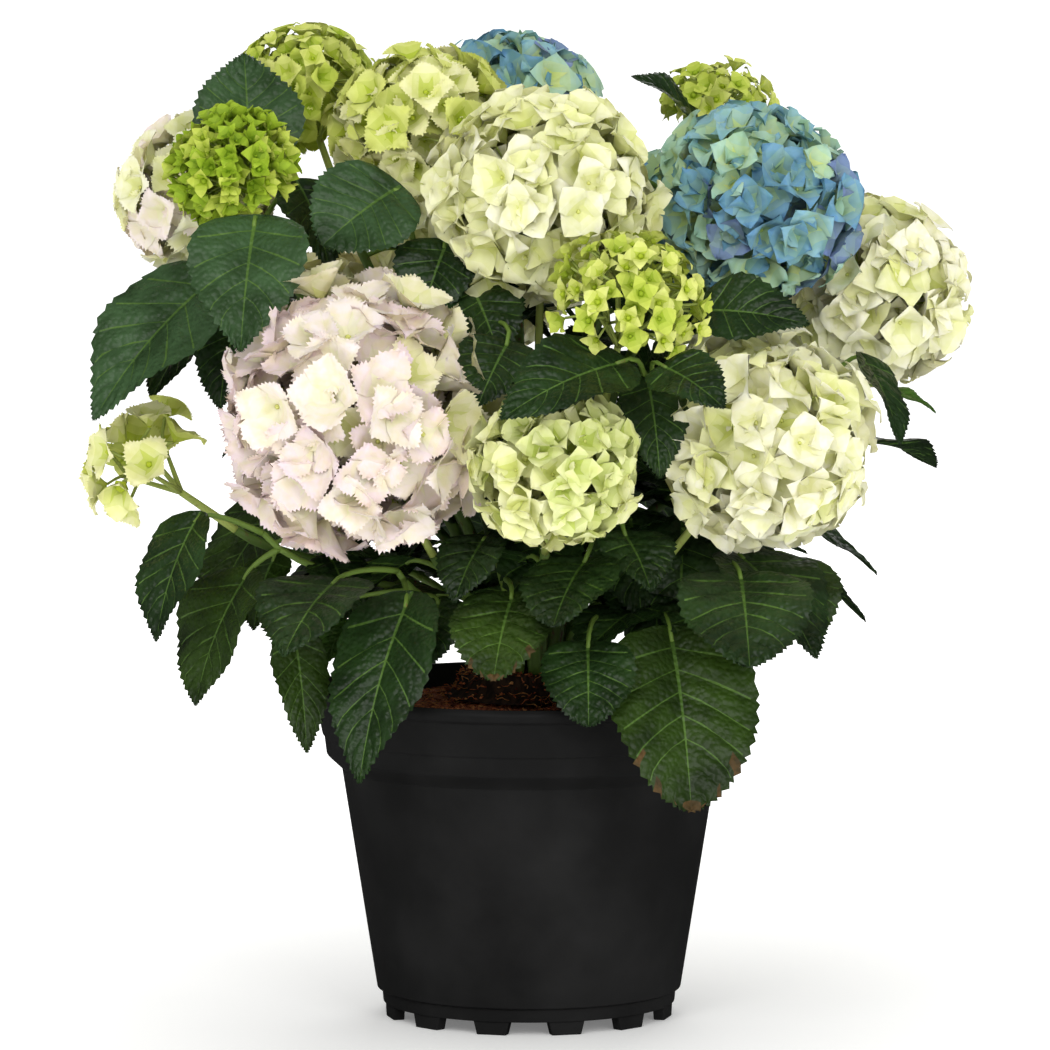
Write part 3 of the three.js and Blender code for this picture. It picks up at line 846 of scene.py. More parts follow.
TOOTHED_BLUSH = FloretForm(Margin.TOOTHED, breadth=0.54, cup=0.95, seed=11)
POINTED_IVORY = FloretForm(Margin.POINTED, breadth=0.52, seed=23)
RUFFLED_SKY = FloretForm(Margin.POINTED, cup=1.25, recurve=0.6, camber=0.16, ruffle=0.14, seed=37)
TOOTHED_CUP = FloretForm(
    Margin.TOOTHED, breadth=0.56, shoulder=0.48, cup=0.95, recurve=0.36, eye=0.14, seed=31
)
YOUNG_CUP = FloretForm(Margin.POINTED, columns=2, cup=1.0, recurve=0.4, eye=0.16, seed=41)
STAR = FloretForm(
    Margin.POINTED, columns=2, breadth=0.44, shoulder=0.36, cup=0.74, recurve=0.36, eye=0.22, seed=53
)
SPIKE = FloretForm(
    Margin.POINTED, columns=2, breadth=0.5, shoulder=0.34, cup=1.25, recurve=0.1, camber=0.2, eye=0.3, seed=59
)


@dataclass(frozen=True)
class Tint:
    """A colouring of florets, from the heart to the rim, and where on the head it is common."""

    name: str
    heart: str
    rim: str
    weight: float = 1.0
    towards: tuple[float, float, float] = (0, 0, 0)
    eye: str = "#d9dc8a"

    SHARES = (0.0, 0.55, 0.86, 1.0)

    def finishes(self) -> list[bpy.types.Material]:
        """Returns the materials of its zones: four rows of the sepal, and the eye."""
        rows = [
            made(SepalFinish(f"{self.name}_{place}", between_colours(self.heart, self.rim, share)))
            for place, share in zip(("heart", "inner", "outer", "rim"), self.SHARES)
        ]
        return [*rows, made(SepalFinish(f"eye_{self.eye[1:]}", linear(self.eye)))]

    def odds(self, out: Vector) -> float:
        """Returns how likely it is on a floret that looks out that way."""
        return self.weight * math.exp(2.2 * out.dot(Vector(self.towards)))


BLUSH = (
    Tint("blush", "#eee8d2", "#ecd9dd", 1.1, (-0.6, -0.1, -0.5)),
    Tint("shell", "#efebd2", "#f3e6e2", 1.0),
    Tint("warm_cream", "#dde09a", "#f1ead0", 0.5, (0.7, 0.1, 0.6)),
)
IVORY = (
    Tint("ivory", "#ecebbf", "#f7f4e0", 1.0),
    Tint("milk", "#e6e8ac", "#f4f2d8", 0.8, (0, 0, 0.2)),
    Tint("lemon", "#d6dc86", "#eeeebd", 0.35, (-0.2, 0, 0.5)),
)
CREAM = (
    Tint("cream", "#e8e9b0", "#f6f4dc", 1.0),
    Tint("butter", "#dde195", "#f1f0ca", 0.9, (-0.3, 0, 0.4)),
    Tint("lemon", "#d6dc86", "#eeeebd", 0.5, (0.2, 0, 0.3)),
)
JADE = (
    Tint("lemon", "#d6dc86", "#eeeebd", 1.0, (-0.4, 0, -0.2)),
    Tint("pale_jade", "#bccb63", "#e2e6a8", 1.0, (0.3, 0, 0.4)),
)
SNOW = (
    Tint("shell", "#efebd2", "#f3e6e2", 0.5),
    Tint("milk", "#e6e8ac", "#f4f2d8", 1.0),
    Tint("butter", "#dbe08c", "#f0efc4", 0.5),
)
SKY = (
    Tint("sky", "#bcd29a", "#86b4c8", 1.0, (0, 0, 0.5), "#c9d67c"),
    Tint("cornflower", "#a3c3a4", "#6899c0", 0.9, (0.2, -0.2, -0.2), "#b9cf7f"),
    Tint("periwinkle", "#9dbab4", "#7489b8", 0.25, (1.0, 0, -0.3), "#a9c48a"),
    Tint("aqua", "#cfdc94", "#a6cbbc", 0.8, (-0.6, -0.1, 0), "#cfd97a"),
)
LIME = (
    Tint("lime_cream", "#cbd56c", "#eeecb8", 1.0, (0.1, -0.3, -0.4), "#b9c83c"),
    Tint("lime", "#b4c440", "#dbe084", 1.0, (0, 0, 0.3), "#a5b92c"),
)
FRESH_LIME = (
    Tint("lime", "#b4c440", "#dbe084", 1.0, (0, 0, 0), "#a5b92c"),
    Tint("spring", "#9cb32e", "#c6d25e", 1.0, (0, 0, 0), "#94ac26"),
)
GREEN = (
    Tint("spring", "#9cb32e", "#c6d25e", 0.5, (0, 0, 0), "#94ac26"),
    Tint("bud_green", "#7a9a1c", "#a3bd35", 1.0, (0, 0, 0), "#86a41f"),
)


# ---------- The plan of the plant ----------
@dataclass(frozen=True)
class Cluster:
    """How a flower head is filled with florets, in millimetres and in shares of the head's radius."""

    forms: tuple[tuple[FloretForm, float], ...]  # kinds of floret with how common each is
    width: float  # of a floret
    density: float  # florets for each square millimetre of the radius squared
    depth: tuple[float, float]  # between which a floret's eye lies
    spread: float = 1.0  # share of the ball, from its top, that has florets
    tilt: float = 24.0  # how far a floret may lean from straight out
    uneven: float = 0.16  # how far its width may differ
    hubs: int = 0  # branches between the hub and the florets
    ray: float = 0.55  # radius of a floret's stalk
    under: float = 0.5  # florets of the layer below, for each one of the outer layer
    under_depth: tuple[float, float] = (0.4, 0.5)


MOPHEAD = {
    "blush": Cluster(((TOOTHED_BLUSH, 1.0),), 37, 0.025, (0.64, 0.84), tilt=40, uneven=0.12),
    "ivory": Cluster(((POINTED_IVORY, 1.0),), 32, 0.034, (0.62, 0.84), tilt=42, uneven=0.12),
    "snow": Cluster(((TOOTHED_BLUSH, 1.0),), 29, 0.038, (0.6, 0.84), tilt=42, uneven=0.12),
    "jade": Cluster(((POINTED_IVORY, 0.7), (YOUNG_CUP, 0.3)), 24, 0.052, (0.62, 0.86), tilt=40),
    "sky": Cluster(((RUFFLED_SKY, 1.0),), 29, 0.045, (0.6, 0.84), tilt=44),
}
OPENING = Cluster(
    ((TOOTHED_BLUSH, 0.35), (TOOTHED_CUP, 0.65)), 26, 0.033, (0.66, 0.88),
    spread=0.86, tilt=30, hubs=9, under=0.2,
)
BREAKING = Cluster(
    ((TOOTHED_CUP, 0.4), (YOUNG_CUP, 0.6)), 18, 0.062, (0.68, 0.92), spread=0.86, tilt=30, hubs=9, under=0.2
)
TIGHT = Cluster(
    ((SPIKE, 0.75), (YOUNG_CUP, 0.25)), 14, 0.105, (0.68, 0.86), spread=0.86, tilt=30, hubs=9, under=0.3
)
STARRY = Cluster(
    ((STAR, 0.65), (YOUNG_CUP, 0.35)), 16, 0.045, (0.6, 0.92), spread=0.62, tilt=26, hubs=11, ray=0.7, under=0
)
SIDE = Cluster(
    ((TOOTHED_CUP, 0.85), (SPIKE, 0.15)), 28, 0.0095, (0.45, 0.8),
    spread=0.64, tilt=38, hubs=4, ray=0.9, under=0,
)


@dataclass
class Head:
    """A flower head of the solids, and how it is dressed."""

    name: str
    middle: Vector
    radius: float
    cluster: Cluster
    tints: tuple[Tint, ...]
    reach: float = 1.1  # how far out the tips of the sepals lie at most, as a share of the radius
    flatten: float = 0.9

    CROWN_ROOT = 150.0
    HUB_DEPTH = 0.6
    STEM = 20.0

    @property
    def axis(self) -> Vector:
        """The way that the head looks, out and up from the root of the crown."""
        return Vector((self.middle.x, self.middle.y, self.middle.z - self.CROWN_ROOT)).normalized()

    @property
    def hub(self) -> Vector:
        """Where the rays leave."""
        return self.middle - self.axis * self.radius * self.HUB_DEPTH

    @property
    def stem_foot(self) -> Vector:
        """Where the cane hands over to the head's own stem."""
        return self.middle - self.axis * (self.radius + self.STEM)

    def holds(self, place: Vector, share: float) -> bool:
        """Returns whether a place lies within a share of the head's radius."""
        return (place - self.middle).length < self.radius * share


HEADS = (
    Head("blush_front", Vector((-88, -97, 323)), 75, MOPHEAD["blush"], BLUSH, flatten=1.0),
    Head("jade_front", Vector((12, -143, 300)), 45, MOPHEAD["jade"], JADE),
    Head("cream_crown", Vector((7, -45, 432)), 64, MOPHEAD["ivory"], CREAM),
    Head("sky_right", Vector((119, -5, 429)), 55, MOPHEAD["sky"], SKY),
    Head("ivory_right", Vector((182, 46, 380)), 55, MOPHEAD["ivory"], IVORY, reach=1.05),
    Head("ivory_front", Vector((119, -85, 309)), 63, MOPHEAD["ivory"], IVORY),
    Head("ivory_left", Vector((-174, 40, 432)), 45, MOPHEAD["snow"], SNOW),
    Head("sky_back", Vector((-9, 92, 471)), 49, MOPHEAD["sky"], SKY, reach=1.05),
    Head("cream_rear", Vector((-30, 136, 388)), 56, MOPHEAD["ivory"], CREAM, reach=1.05),
    Head("sky_rear", Vector((78, 134, 402)), 50, MOPHEAD["sky"], SKY),
    Head("blush_rear", Vector((-110, 115, 342)), 56, MOPHEAD["blush"], BLUSH),
    Head("ivory_rear", Vector((124, 122, 312)), 56, MOPHEAD["ivory"], IVORY),
    Head("lime_crown", Vector((-56, 14, 466)), 48, OPENING, LIME),
    Head("lime_back", Vector((-120, 72, 482)), 42, BREAKING, FRESH_LIME, reach=1.0),
    Head("green_left", Vector((-153, -42, 447)), 35, TIGHT, GREEN),
    Head("lime_centre", Vector((50, -118, 382)), 44, STARRY, FRESH_LIME),
    Head("lime_right", Vector((100, 76, 470)), 35, STARRY, FRESH_LIME),
    Head("side_left", Vector((-200, -20, 290)), 38, SIDE, LIME, reach=1.05),
)


class Outline(Enum):
    """The outline of a blade: how fast it widens from the foot, and how fast it narrows to the tip."""

    OVATE = (0.5, 0.92)
    ROUND = (0.46, 0.6)


@dataclass(frozen=True)
class Leaf:
    """A leaf: the foot and the tip of its blade, its width, and how far it is rolled about its midrib."""

    foot: tuple[float, float, float]
    tip: tuple[float, float, float]
    width: float
    roll: float = 0.0
    tone: Tone = Tone.DARK
    outline: Outline = Outline.OVATE
    scorched: bool = False


@dataclass
class Mass:
    """A mass of leaves: where its stem ends, whether on a cane, its pairs and the leaves that stand out."""

    name: str
    end: Vector
    cane: bool
    pairs: int
    leaves: tuple[Leaf, ...] = ()

    RISE = 40.0

    @property
    def leaning(self) -> Vector:
        """The way that the stem points at its end."""
        return Vector((self.end.x, self.end.y, math.hypot(self.end.x, self.end.y) + self.RISE)).normalized()


MASSES = (
    Mass("left_high", Vector((-148, -8, 402)), True, 2, (
        Leaf((-158, -32, 394), (-224, -62, 318), 70, 25, Tone.GREY),
        Leaf((-140, -64, 424), (-146, -116, 357), 62, 0, Tone.GREY),
        Leaf((-146, 2, 446), (-150, 34, 504), 58, 0, Tone.GREY),
        Leaf((-122, 4, 440), (-104, -18, 394), 44),
        Leaf((-150, -20, 372), (-160, -38, 322), 40),
    )),
    Mass("crown", Vector((-58, -30, 400)), True, 2, (
        Leaf((-66, -36, 438), (-106, -62, 408), 58, 45, Tone.GREY, Outline.ROUND),
        Leaf((-42, -46, 410), (-56, -70, 368), 44, 20),
        Leaf((-30, -54, 388), (-14, -88, 350), 44, 20),
        Leaf((-10, -100, 362), (-26, -130, 330), 42, 20),
    )),
    Mass("centre", Vector((64, -62, 322)), True, 0, (
        Leaf((50, -136, 354), (-14, -184, 328), 52, 30),
        Leaf((66, -140, 352), (97, -178, 333), 36, 30),
        Leaf((84, -84, 376), (142, -108, 370), 42, 45),
        Leaf((60, -98, 344), (66, -130, 294), 36),
        Leaf((30, -92, 250), (12, -144, 220), 50, 0, Tone.DARK, Outline.ROUND),
        Leaf((48, -74, 262), (62, -106, 234), 42),
    )),
    Mass("top_right", Vector((82, 44, 440)), True, 0, (
        Leaf((90, 46, 468), (54, 28, 492), 34, 30),
        Leaf((66, 62, 430), (44, 98, 418), 36),
        Leaf((62, 28, 438), (12, 36, 426), 44),
    )),
    Mass("right_high", Vector((152, 2, 330)), True, 1, (
        Leaf((172, -14, 350), (192, -38, 303), 36, -20),
        Leaf((184, 2, 330), (212, -14, 318), 16, 0, Tone.FRESH),
        Leaf((176, 20, 300), (216, 52, 284), 44),
    )),
    Mass("left_low", Vector((-138, -42, 258)), False, 0, (
        Leaf((-170, -46, 270), (-192, -66, 204), 48),
        Leaf((-144, -40, 240), (-172, -60, 170), 68, 0, Tone.OLIVE),
        Leaf((-132, -30, 246), (-144, -12, 204), 32, 0, Tone.OLIVE),
    )),
    Mass("rim_left", Vector((-68, -60, 240)), False, 0, (
        Leaf((-60, -80, 232), (-86, -130, 139), 58),
        Leaf((-98, -78, 238), (-124, -134, 204), 62),
        Leaf((-122, -58, 212), (-114, -88, 149), 30, 0, Tone.OLIVE),
        Leaf((-90, -34, 212), (-112, -54, 184), 26, 0, Tone.FRESH),
        Leaf((-46, -62, 226), (-54, -92, 192), 40),
    )),
    Mass("rim_front", Vector((-16, -56, 244)), False, 0, (
        Leaf((-8, -90, 232), (-18, -146, 193), 54, 0, Tone.OLIVE, Outline.ROUND, True),
        Leaf((-22, -74, 260), (-38, -104, 228), 38),
    )),
    Mass("rim_right", Vector((94, -30, 240)), False, 1, (
        Leaf((72, -80, 214), (82, -142, 126), 78, 0, Tone.OLIVE, Outline.ROUND, True),
        Leaf((108, -84, 242), (111, -148, 200), 68, 0, Tone.DARK, Outline.ROUND),
        Leaf((62, -46, 222), (26, -90, 196), 46),
        Leaf((30, -98, 208), (30, -140, 169), 48, 0, Tone.DARK, Outline.ROUND),
        Leaf((138, -48, 246), (146, -78, 203), 38, 0, Tone.OLIVE),
        Leaf((84, -50, 224), (96, -90, 190), 46),
    )),
    Mass("side_left", Vector((-112, 56, 262)), False, 2),
    Mass("rear_left", Vector((-44, 96, 262)), False, 3),
    Mass("rear", Vector((27, 104, 276)), False, 3),
    Mass("rear_right", Vector((92, 52, 258)), False, 3),
)

# leaves deeper in, which close the view between those of a mass
BEHIND = {
    "centre": (
        Leaf((62, -56, 338), (32, -62, 388), 46),
        Leaf((72, -52, 340), (86, -58, 390), 42),
        Leaf((38, -50, 336), (10, -52, 384), 46),
    ),
    "rim_right": (
        Leaf((80, -26, 264), (78, -66, 204), 58),
        Leaf((52, -22, 268), (58, -62, 214), 50),
        Leaf((66, -30, 246), (66, -60, 190), 54),
    ),
    "rim_front": (
        Leaf((8, -34, 262), (2, -78, 214), 46),
    ),
}


class Path:
    """A curve that is walked by its length."""

    STEPS = 200

    def __init__(self, corners: Sequence[Vector]) -> None:
        """Makes the curve.

        Args:
            corners: two points of a straight line, or the four of a cubic Bezier curve.
        """
        share = np.linspace(0, 1, self.STEPS + 1)[:, None]
        held = np.array([tuple(corner) for corner in corners])
        if len(held) == 2:
            self.points = held[0] + (held[1] - held[0]) * share
        else:
            rest = 1 - share
            weights = (rest**3, 3 * rest**2 * share, 3 * rest * share**2, share**3)
            self.points = sum(weight * corner for weight, corner in zip(weights, held))
        steps = np.linalg.norm(np.diff(self.points, axis=0), axis=1)
        self.walked = np.concatenate([[0.0], np.cumsum(steps)])

    @property
    def length(self) -> float:
        """How long the curve is."""
        return float(self.walked[-1])

    def at(self, shares: float | np.ndarray) -> np.ndarray:
        """Returns the points at shares of the length."""
        far = np.asarray(shares) * self.walked[-1]
        return np.stack([np.interp(far, self.walked, self.points[:, axis]) for axis in range(3)], axis=-1)


@dataclass
class Plan:
    """Where every limb runs: the rule of the solids, written again."""

    stock_top: float = 182.3
    clearance: float = 0.3
    feet_spacing: float = 9.2
    feet_radius: float = 31.0
    feet_passes: int = 80
    rise: float = 0.42
    lead: float = 0.34
    carried: float = 62.0
    canes: dict[str, Path] = field(default_factory=dict)
    stems: dict[str, Path] = field(default_factory=dict)

    def __post_init__(self) -> None:
        """Works out the feet and the routes."""
        limbs = [(f"cane_{head.name}", head.stem_foot, head.axis, None) for head in HEADS]
        for mass in MASSES:
            tip = mass.end - mass.leaning * self.carried if mass.cane else mass.end
            limbs.append((f"cane_{mass.name}", tip, mass.leaning, mass))
        feet = self.spread_feet([tip for _, tip, _, _ in limbs])
        for foot, (name, tip, arriving, mass) in zip(feet, limbs):
            reach = (tip - foot).length
            route = Path([foot, foot + UP * self.rise * reach, tip - arriving * self.lead * reach, tip])
            if mass is None or mass.cane:
                self.canes[name] = route
            if mass is not None:
                start = tip + mass.leaning * self.clearance
                self.stems[mass.name] = Path([start, mass.end]) if mass.cane else route

    def spread_feet(self, tips: Sequence[Vector]) -> list[Vector]:
        """Sets the limbs' feet on the stock: the more a limb leans out the nearer it stands to the edge.

        Args:
            tips: where the limbs end.

        Returns:
            A foot for each limb, no two closer than the spacing as far as there is room.
        """
        feet = []
        for tip in tips:
            reach = Vector((tip.x, tip.y, tip.z - self.stock_top)).length
            feet.append(Vector((tip.x, tip.y)) * self.feet_radius / reach)
        for _ in range(self.feet_passes):
            for number, foot in enumerate(feet):
                for other in feet[number + 1 :]:
                    push = other - foot
                    if push.length >= self.feet_spacing:
                        continue
                    push *= (self.feet_spacing - push.length) / push.length / 2
                    foot -= push
                    other += push
            for foot in feet:
                if foot.length > self.feet_radius:
                    foot *= self.feet_radius / foot.length
        return [Vector((foot.x, foot.y, self.stock_top + self.clearance)) for foot in feet]


def tube(
    sheets: Sheets, line: np.ndarray, radii: np.ndarray, sides: int,
    relief: Callable[[np.ndarray, np.ndarray], np.ndarray] | None = None,
) -> None:
    """Adds a closed tube along a line of points.

    Args:
        sheets: what gets the tube.
        line: the points, in millimetres.
        radii: the radius at each.
        sides: how many sides it has.
        relief: from the share of the length and the angle round, how much farther out the skin lies.
    """
    ahead = np.gradient(line, axis=0)
    ahead /= np.linalg.norm(ahead, axis=1, keepdims=True)
    normal = np.cross(ahead[0], (0.0, 1.0, 0.0) if abs(ahead[0][1]) < 0.9 else (1.0, 0.0, 0.0))
    normals = []
    for direction in ahead:
        normal = normal - direction * normal.dot(direction)
        normal = normal / np.linalg.norm(normal)
        normals.append(normal)
    across = np.array(normals)
    beside = np.cross(ahead, across)
    angles = circle(sides)
    reach = np.repeat(radii[:, None], sides, axis=1)
    if relief:
        share, turn = np.meshgrid(np.linspace(0, 1, len(line)), angles, indexing="ij")
        reach = reach + relief(share, turn)
    cosine, sine = np.cos(angles)[None, :, None], np.sin(angles)[None, :, None]
    ring = across[:, None] * cosine + beside[:, None] * sine
    skin = (line[:, None] + ring * reach[..., None]).reshape(-1, 3)
    last = len(skin)
    faces = [tuple(face) for face in grid_faces(len(line) - 1, sides, ring=True)]
    faces += fan(sides, 0, last, back=True) + fan(sides, last - sides, last + 1)
    sheets.add(np.concatenate([skin, line[:1], line[-1:]]), faces)


# ---------- Canes and stock ----------
@dataclass
class Canes:
    """The canes from the stock to the heads and masses, with ribs and leaf scars."""

    plan: Plan
    foot: float = 3.3
    tip: float = 2.3
    sides: int = 14
    step: float = 5.0  # length of a ring of faces
    scar: float = 46.0  # between two pairs of leaf scars
    swelling: float = 0.75
    ribs: int = 6
    rib: float = 0.12

    def build(self) -> None:
        """Makes every cane as one piece."""
        sheets = Sheets()
        for number, path in enumerate(self.plan.canes.values()):
            rings = max(8, round(path.length / self.step))
            share = np.linspace(0, 1, rings + 1)
            radii = self.foot + (self.tip - self.foot) * share
            scars = path.length / self.scar

            def relief(
                along: np.ndarray, turn: np.ndarray, scars: float = scars, shift: float = number
            ) -> np.ndarray:
                """Returns ribs along the cane and a swollen ring with two buds at each scar."""
                near = (along * scars + 0.35) % 1 - 0.5
                ring = np.exp(-((near * self.scar / 3.2) ** 2))
                buds = 0.6 + 0.4 * np.cos(2 * turn + np.floor(along * scars + 0.35) * math.pi + shift)
                return self.swelling * ring * buds + self.rib * np.sin(self.ribs * turn + shift)

            tube(sheets, path.at(share), radii, self.sides, relief)
        mesh = sheets.mesh("canes", [made(CANE_SKIN)])
        place_piece(mesh, "cane_bark", list(self.plan.canes))


@dataclass
class Stock:
    """The woody stock that the canes rise from: a low knot of old wood, lobed where canes were cut."""

    foot: float = 45.0
    waist: float = 38.0
    waist_height: float = 6.0
    top: float = 36.0
    height: float = 14.0
    base: float = 168.3
    lobes: int = 9
    lobe: float = 2.2
    sides: int = 72
    rings: int = 18

    def build(self) -> None:
        """Makes the stock."""
        heights = np.linspace(0, self.height, self.rings + 1)
        radii = np.interp(heights, [0, self.waist_height, self.height], [self.foot, self.waist, self.top])
        line = np.stack([heights * 0, heights * 0, heights + self.base], axis=-1)

        def relief(along: np.ndarray, turn: np.ndarray) -> np.ndarray:
            """Returns lobes and furrows, all inside the stock's own radius."""
            lobes = 0.5 + 0.5 * np.sin(self.lobes * turn + 2 * np.sin(3 * turn))
            furrows = 0.5 + 0.5 * np.sin(31 * turn + 9 * along)
            return -self.lobe * lobes - 0.7 * furrows

        sheets = Sheets()
        tube(sheets, line, radii, self.sides, relief)
        place_piece(sheets.mesh("stock_wood", [made(OLD_WOOD)]), "old_wood", ["stock"])


# ---------- Leaves ----------
@dataclass
class Foliage:
    """The leaves with their stalks and stems: quilted blades with sunken veins and toothed edges."""

    plan: Plan
    arch: float = 0.07  # height of a blade's arch, as a share of its length
    fold: float = 0.16  # how far its sides rise, as a share of their width
    sunk: float = 0.1  # how far along it its stalk ends
    veins: int = 8  # pairs of side veins
    parts: tuple[float, ...] = (0.0, 0.06, 0.3, 0.55, 0.8)  # rows of points from one side vein to the next
    swell: tuple[float, ...] = (0.0, 0.0, 0.75, 1.0, 0.75)  # height of the bulge at each of these rows
    columns: tuple[float, ...] = (0.24, 0.48, 0.72, 0.91, 1.0)
    domed: tuple[float, ...] = (0.85, 1.0, 0.9, 0.45, 0.0)  # height of the bulge at each of these columns
    usual: float = 60.0  # width of the blade that the millimetres here are meant for
    midrib: float = 0.95  # half width of the midrib at its foot
    middle: float = 0.06  # how far its columns lie from the middle of the grid
    groove: tuple[float, float] = (0.9, 0.14)  # depth and width of the furrow along it
    slant: float = 2.2  # how far side veins run towards the tip
    quilt: float = 1.5  # height of the bulges between side veins
    crumple: float = 0.5  # height of its fine unevenness
    tooth: float = 1.15
    wave: float = 0.04  # height of the waves of its sides, as a share of its length
    waves: float = 1.4  # on a side
    lag: float = 1.3  # of one side's waves behind the other's, in radians
    stem_foot: float = 2.6
    stem_tip: float = 1.6
    places: int = 12  # on a stem, where a stalk may start
    bare: int = 3  # of them, the lowest, that have none
    stalk_foot: float = 1.8
    stalk_tip: float = 1.15
    crown: tuple[float, float, float] = (208, 184, 185)  # half sizes of the crown's reach
    crown_middle: float = 330.0
    crown_floor: float = 205.0  # below which no inner leaf hangs
    same: float = 0.5  # within which a corner of the solids counts as a leaf's tip
    pair: dict[str, float] = field(default_factory=lambda: {
        "petiole": 26, "length": 84, "width": 56, "smallest": 0.9, "larger": 0.2, "first": 0.45, "last": 0.98,
        "fan": 34, "wide": 72, "pitch": 24, "droop": 26, "uneven": 22, "seed": 41,
    })
    inner: dict[str, float] = field(default_factory=lambda: {
        "petiole": 20, "length": 72, "width": 46, "smallest": 0.62, "pitch": 0.35, "flattest": 6,
        "steepest": 40, "uneven": 0.4, "roll": 20, "clear": 0.86, "inside": 0.82, "front": -70,
        "front_middle": -60, "seed": 900,
    })
    blades: dict[Tone, Sheets] = field(default_factory=lambda: {tone: Sheets() for tone in Tone})
    stalks: Sheets = field(default_factory=Sheets)
    corners: dict[str, np.ndarray] = field(default_factory=dict)
    grown: int = 0

    BLADE_MARK = 0
    VEIN_MARK = 1
    SCORCH_MARK = 2

    def blade_frame(self, foot: np.ndarray, tip: np.ndarray, roll: float) -> tuple[np.ndarray, ...]:
        """Returns the midrib's direction, the blade's side, the way that its face looks, and its length."""
        length = float(np.linalg.norm(tip - foot))
        along = (tip - foot) / length
        side = np.cross(along, (0.0, 0.0, 1.0))
        side /= np.linalg.norm(side)
        turn = Quaternion(Vector(along), math.radians(roll) * (-1 if along[0] < 0 else 1))
        side = np.array(turn @ Vector(side))
        return along, side, np.cross(side, along), length

    def half_width(self, share: np.ndarray, outline: Outline) -> np.ndarray:
        """Returns the half width of a blade, from 0 to 1, at shares of its length."""
        rising, falling = outline.value
        top = rising / (rising + falling)
        inside = np.clip(share, 0, 1)
        return inside**rising * (1 - inside) ** falling / (top**rising * (1 - top) ** falling)

    def add_blade(self, leaf: Leaf, seed: int) -> None:
        """Adds the blade of a leaf.

        Args:
            leaf: where it is.
            seed: where its unevenness comes from.
        """
        chance = Chance(seed)
        foot, tip = np.array(leaf.foot, float), np.array(leaf.tip, float)
        along, side, face, length = self.blade_frame(foot, tip, leaf.roll)
        steps = [(vein + part) / self.veins for vein in range(self.veins) for part in self.parts]
        rows = np.array([*steps, 1.0])
        swell = np.array([*self.swell * self.veins, 0.0])
        half, domed = np.array(self.columns), np.array(self.domed)
        across = np.concatenate([-half[::-1], [-self.middle, 0, self.middle], half])
        dome = np.concatenate([domed[::-1], [0, 0, 0], domed])
        row, lateral = np.meshgrid(rows, across, indexing="ij")
        off = np.abs(lateral)
        share = row + (1 - (1 - row) ** self.slant - row) * off**0.9
        scale = math.sqrt(leaf.width / self.usual)
        breadth = self.half_width(share, leaf.outline) * leaf.width / 2
        ribs = np.minimum(self.midrib * scale * (1.1 - row), breadth * 0.3) * np.sign(lateral)
        out = np.where(off <= self.middle, ribs, lateral * breadth)
        saw = np.where(np.arange(len(rows)) % 2 == 1, 1.0, -0.5)
        saw = saw * chance.between(0.8, 1.2) * self.tooth * scale
        edge = (off >= 1.0) & (row > 0) & (row < 1)
        out = out + np.where(edge, saw[:, None] * np.sign(lateral), 0.0)
        share = np.where(edge, share + 0.7 * saw[:, None] / length, share)
        order = np.arange(row.size).reshape(row.shape)
        crumple = np.sin(seed + 12.99 * order**1.3) * self.crumple * scale
        lift = self.arch * length * 4 * share * (1 - share) + self.fold * np.abs(out)
        lift = lift + (self.quilt * scale * swell[:, None] + crumple) * dome[None, :]
        lift = lift - self.groove[0] * scale * np.exp(-((off / self.groove[1]) ** 2)) * (1 - share)
        phase = chance.between(0, 2 * math.pi)
        swing = np.sin(phase + 2 * math.pi * self.waves * share + np.where(lateral > 0, self.lag, 0.0))
        lift = lift + self.wave * length * off**2 * swing * np.sin(np.pi * np.clip(share, 0, 1))
        points = foot + share[..., None] * length * along + out[..., None] * side + lift[..., None] * face
        faces = grid_faces(len(rows) - 1, len(across) - 1)
        band, column = np.divmod(np.arange(len(faces)), len(across) - 1)
        middle = (column == len(half)) | (column == len(half) + 1)
        inside = (column > 0) & (column < len(across) - 2)
        veined = (band > 0) & (band < len(self.parts) * (self.veins - 2)) & inside
        vein = (band % len(self.parts) == 0) & veined
        mark = np.where(vein | middle, self.VEIN_MARK, self.BLADE_MARK)
        if leaf.scorched:
            rim = (column < 2) | (column > len(across) - 4)
            spot = np.sin(band * 0.9 + phase + (column > len(half)) * 2.0) > 0.72
            burnt = (band > len(rows) - 4) | (rim & spot & (band > len(rows) // 2))
            mark = np.where(burnt, self.SCORCH_MARK, mark)
        self.blades[leaf.tone].add(points.reshape(-1, 3), faces.tolist(), mark.tolist())

    def add_leaf(self, stem: Path, leaf: Leaf, place: np.ndarray | None = None) -> None:
        """Adds a leaf and the stalk that carries it.

        Args:
            stem: what it grows from.
            leaf: the leaf.
            place: where on the stem, or None for the nearest of the stem's places.
        """
        self.grown += 1
        foot = np.array(leaf.foot, float)
        if place is None:
            places = stem.at(np.linspace(0, 1, self.places + 1))[self.bare :]
            far = np.linalg.norm(places - foot, axis=1) + np.clip(places[:, 2] - foot[2], 0, None)
            place = places[int(np.argmin(far))]
        along, _, face, length = self.blade_frame(foot, np.array(leaf.tip, float), leaf.roll)
        held = foot + along * self.sunk * length + face * self.arch * length * 4 * self.sunk * (1 - self.sunk)
        reach = float(np.linalg.norm(held - place))
        droop = np.array([0, 0, 0.12 * reach])
        bend = [place, place + (held - place) * 0.4 + droop, held - along * 0.25 * reach, held - face * 0.6]
        line = Path([Vector(corner) for corner in bend]).at(np.linspace(0, 1, 9))
        slim = min(1.0, leaf.width / 40)
        tube(self.stalks, line, np.linspace(self.stalk_foot, self.stalk_tip, 9) * slim, 7)
        self.add_blade(leaf, self.grown * 7 + 3)

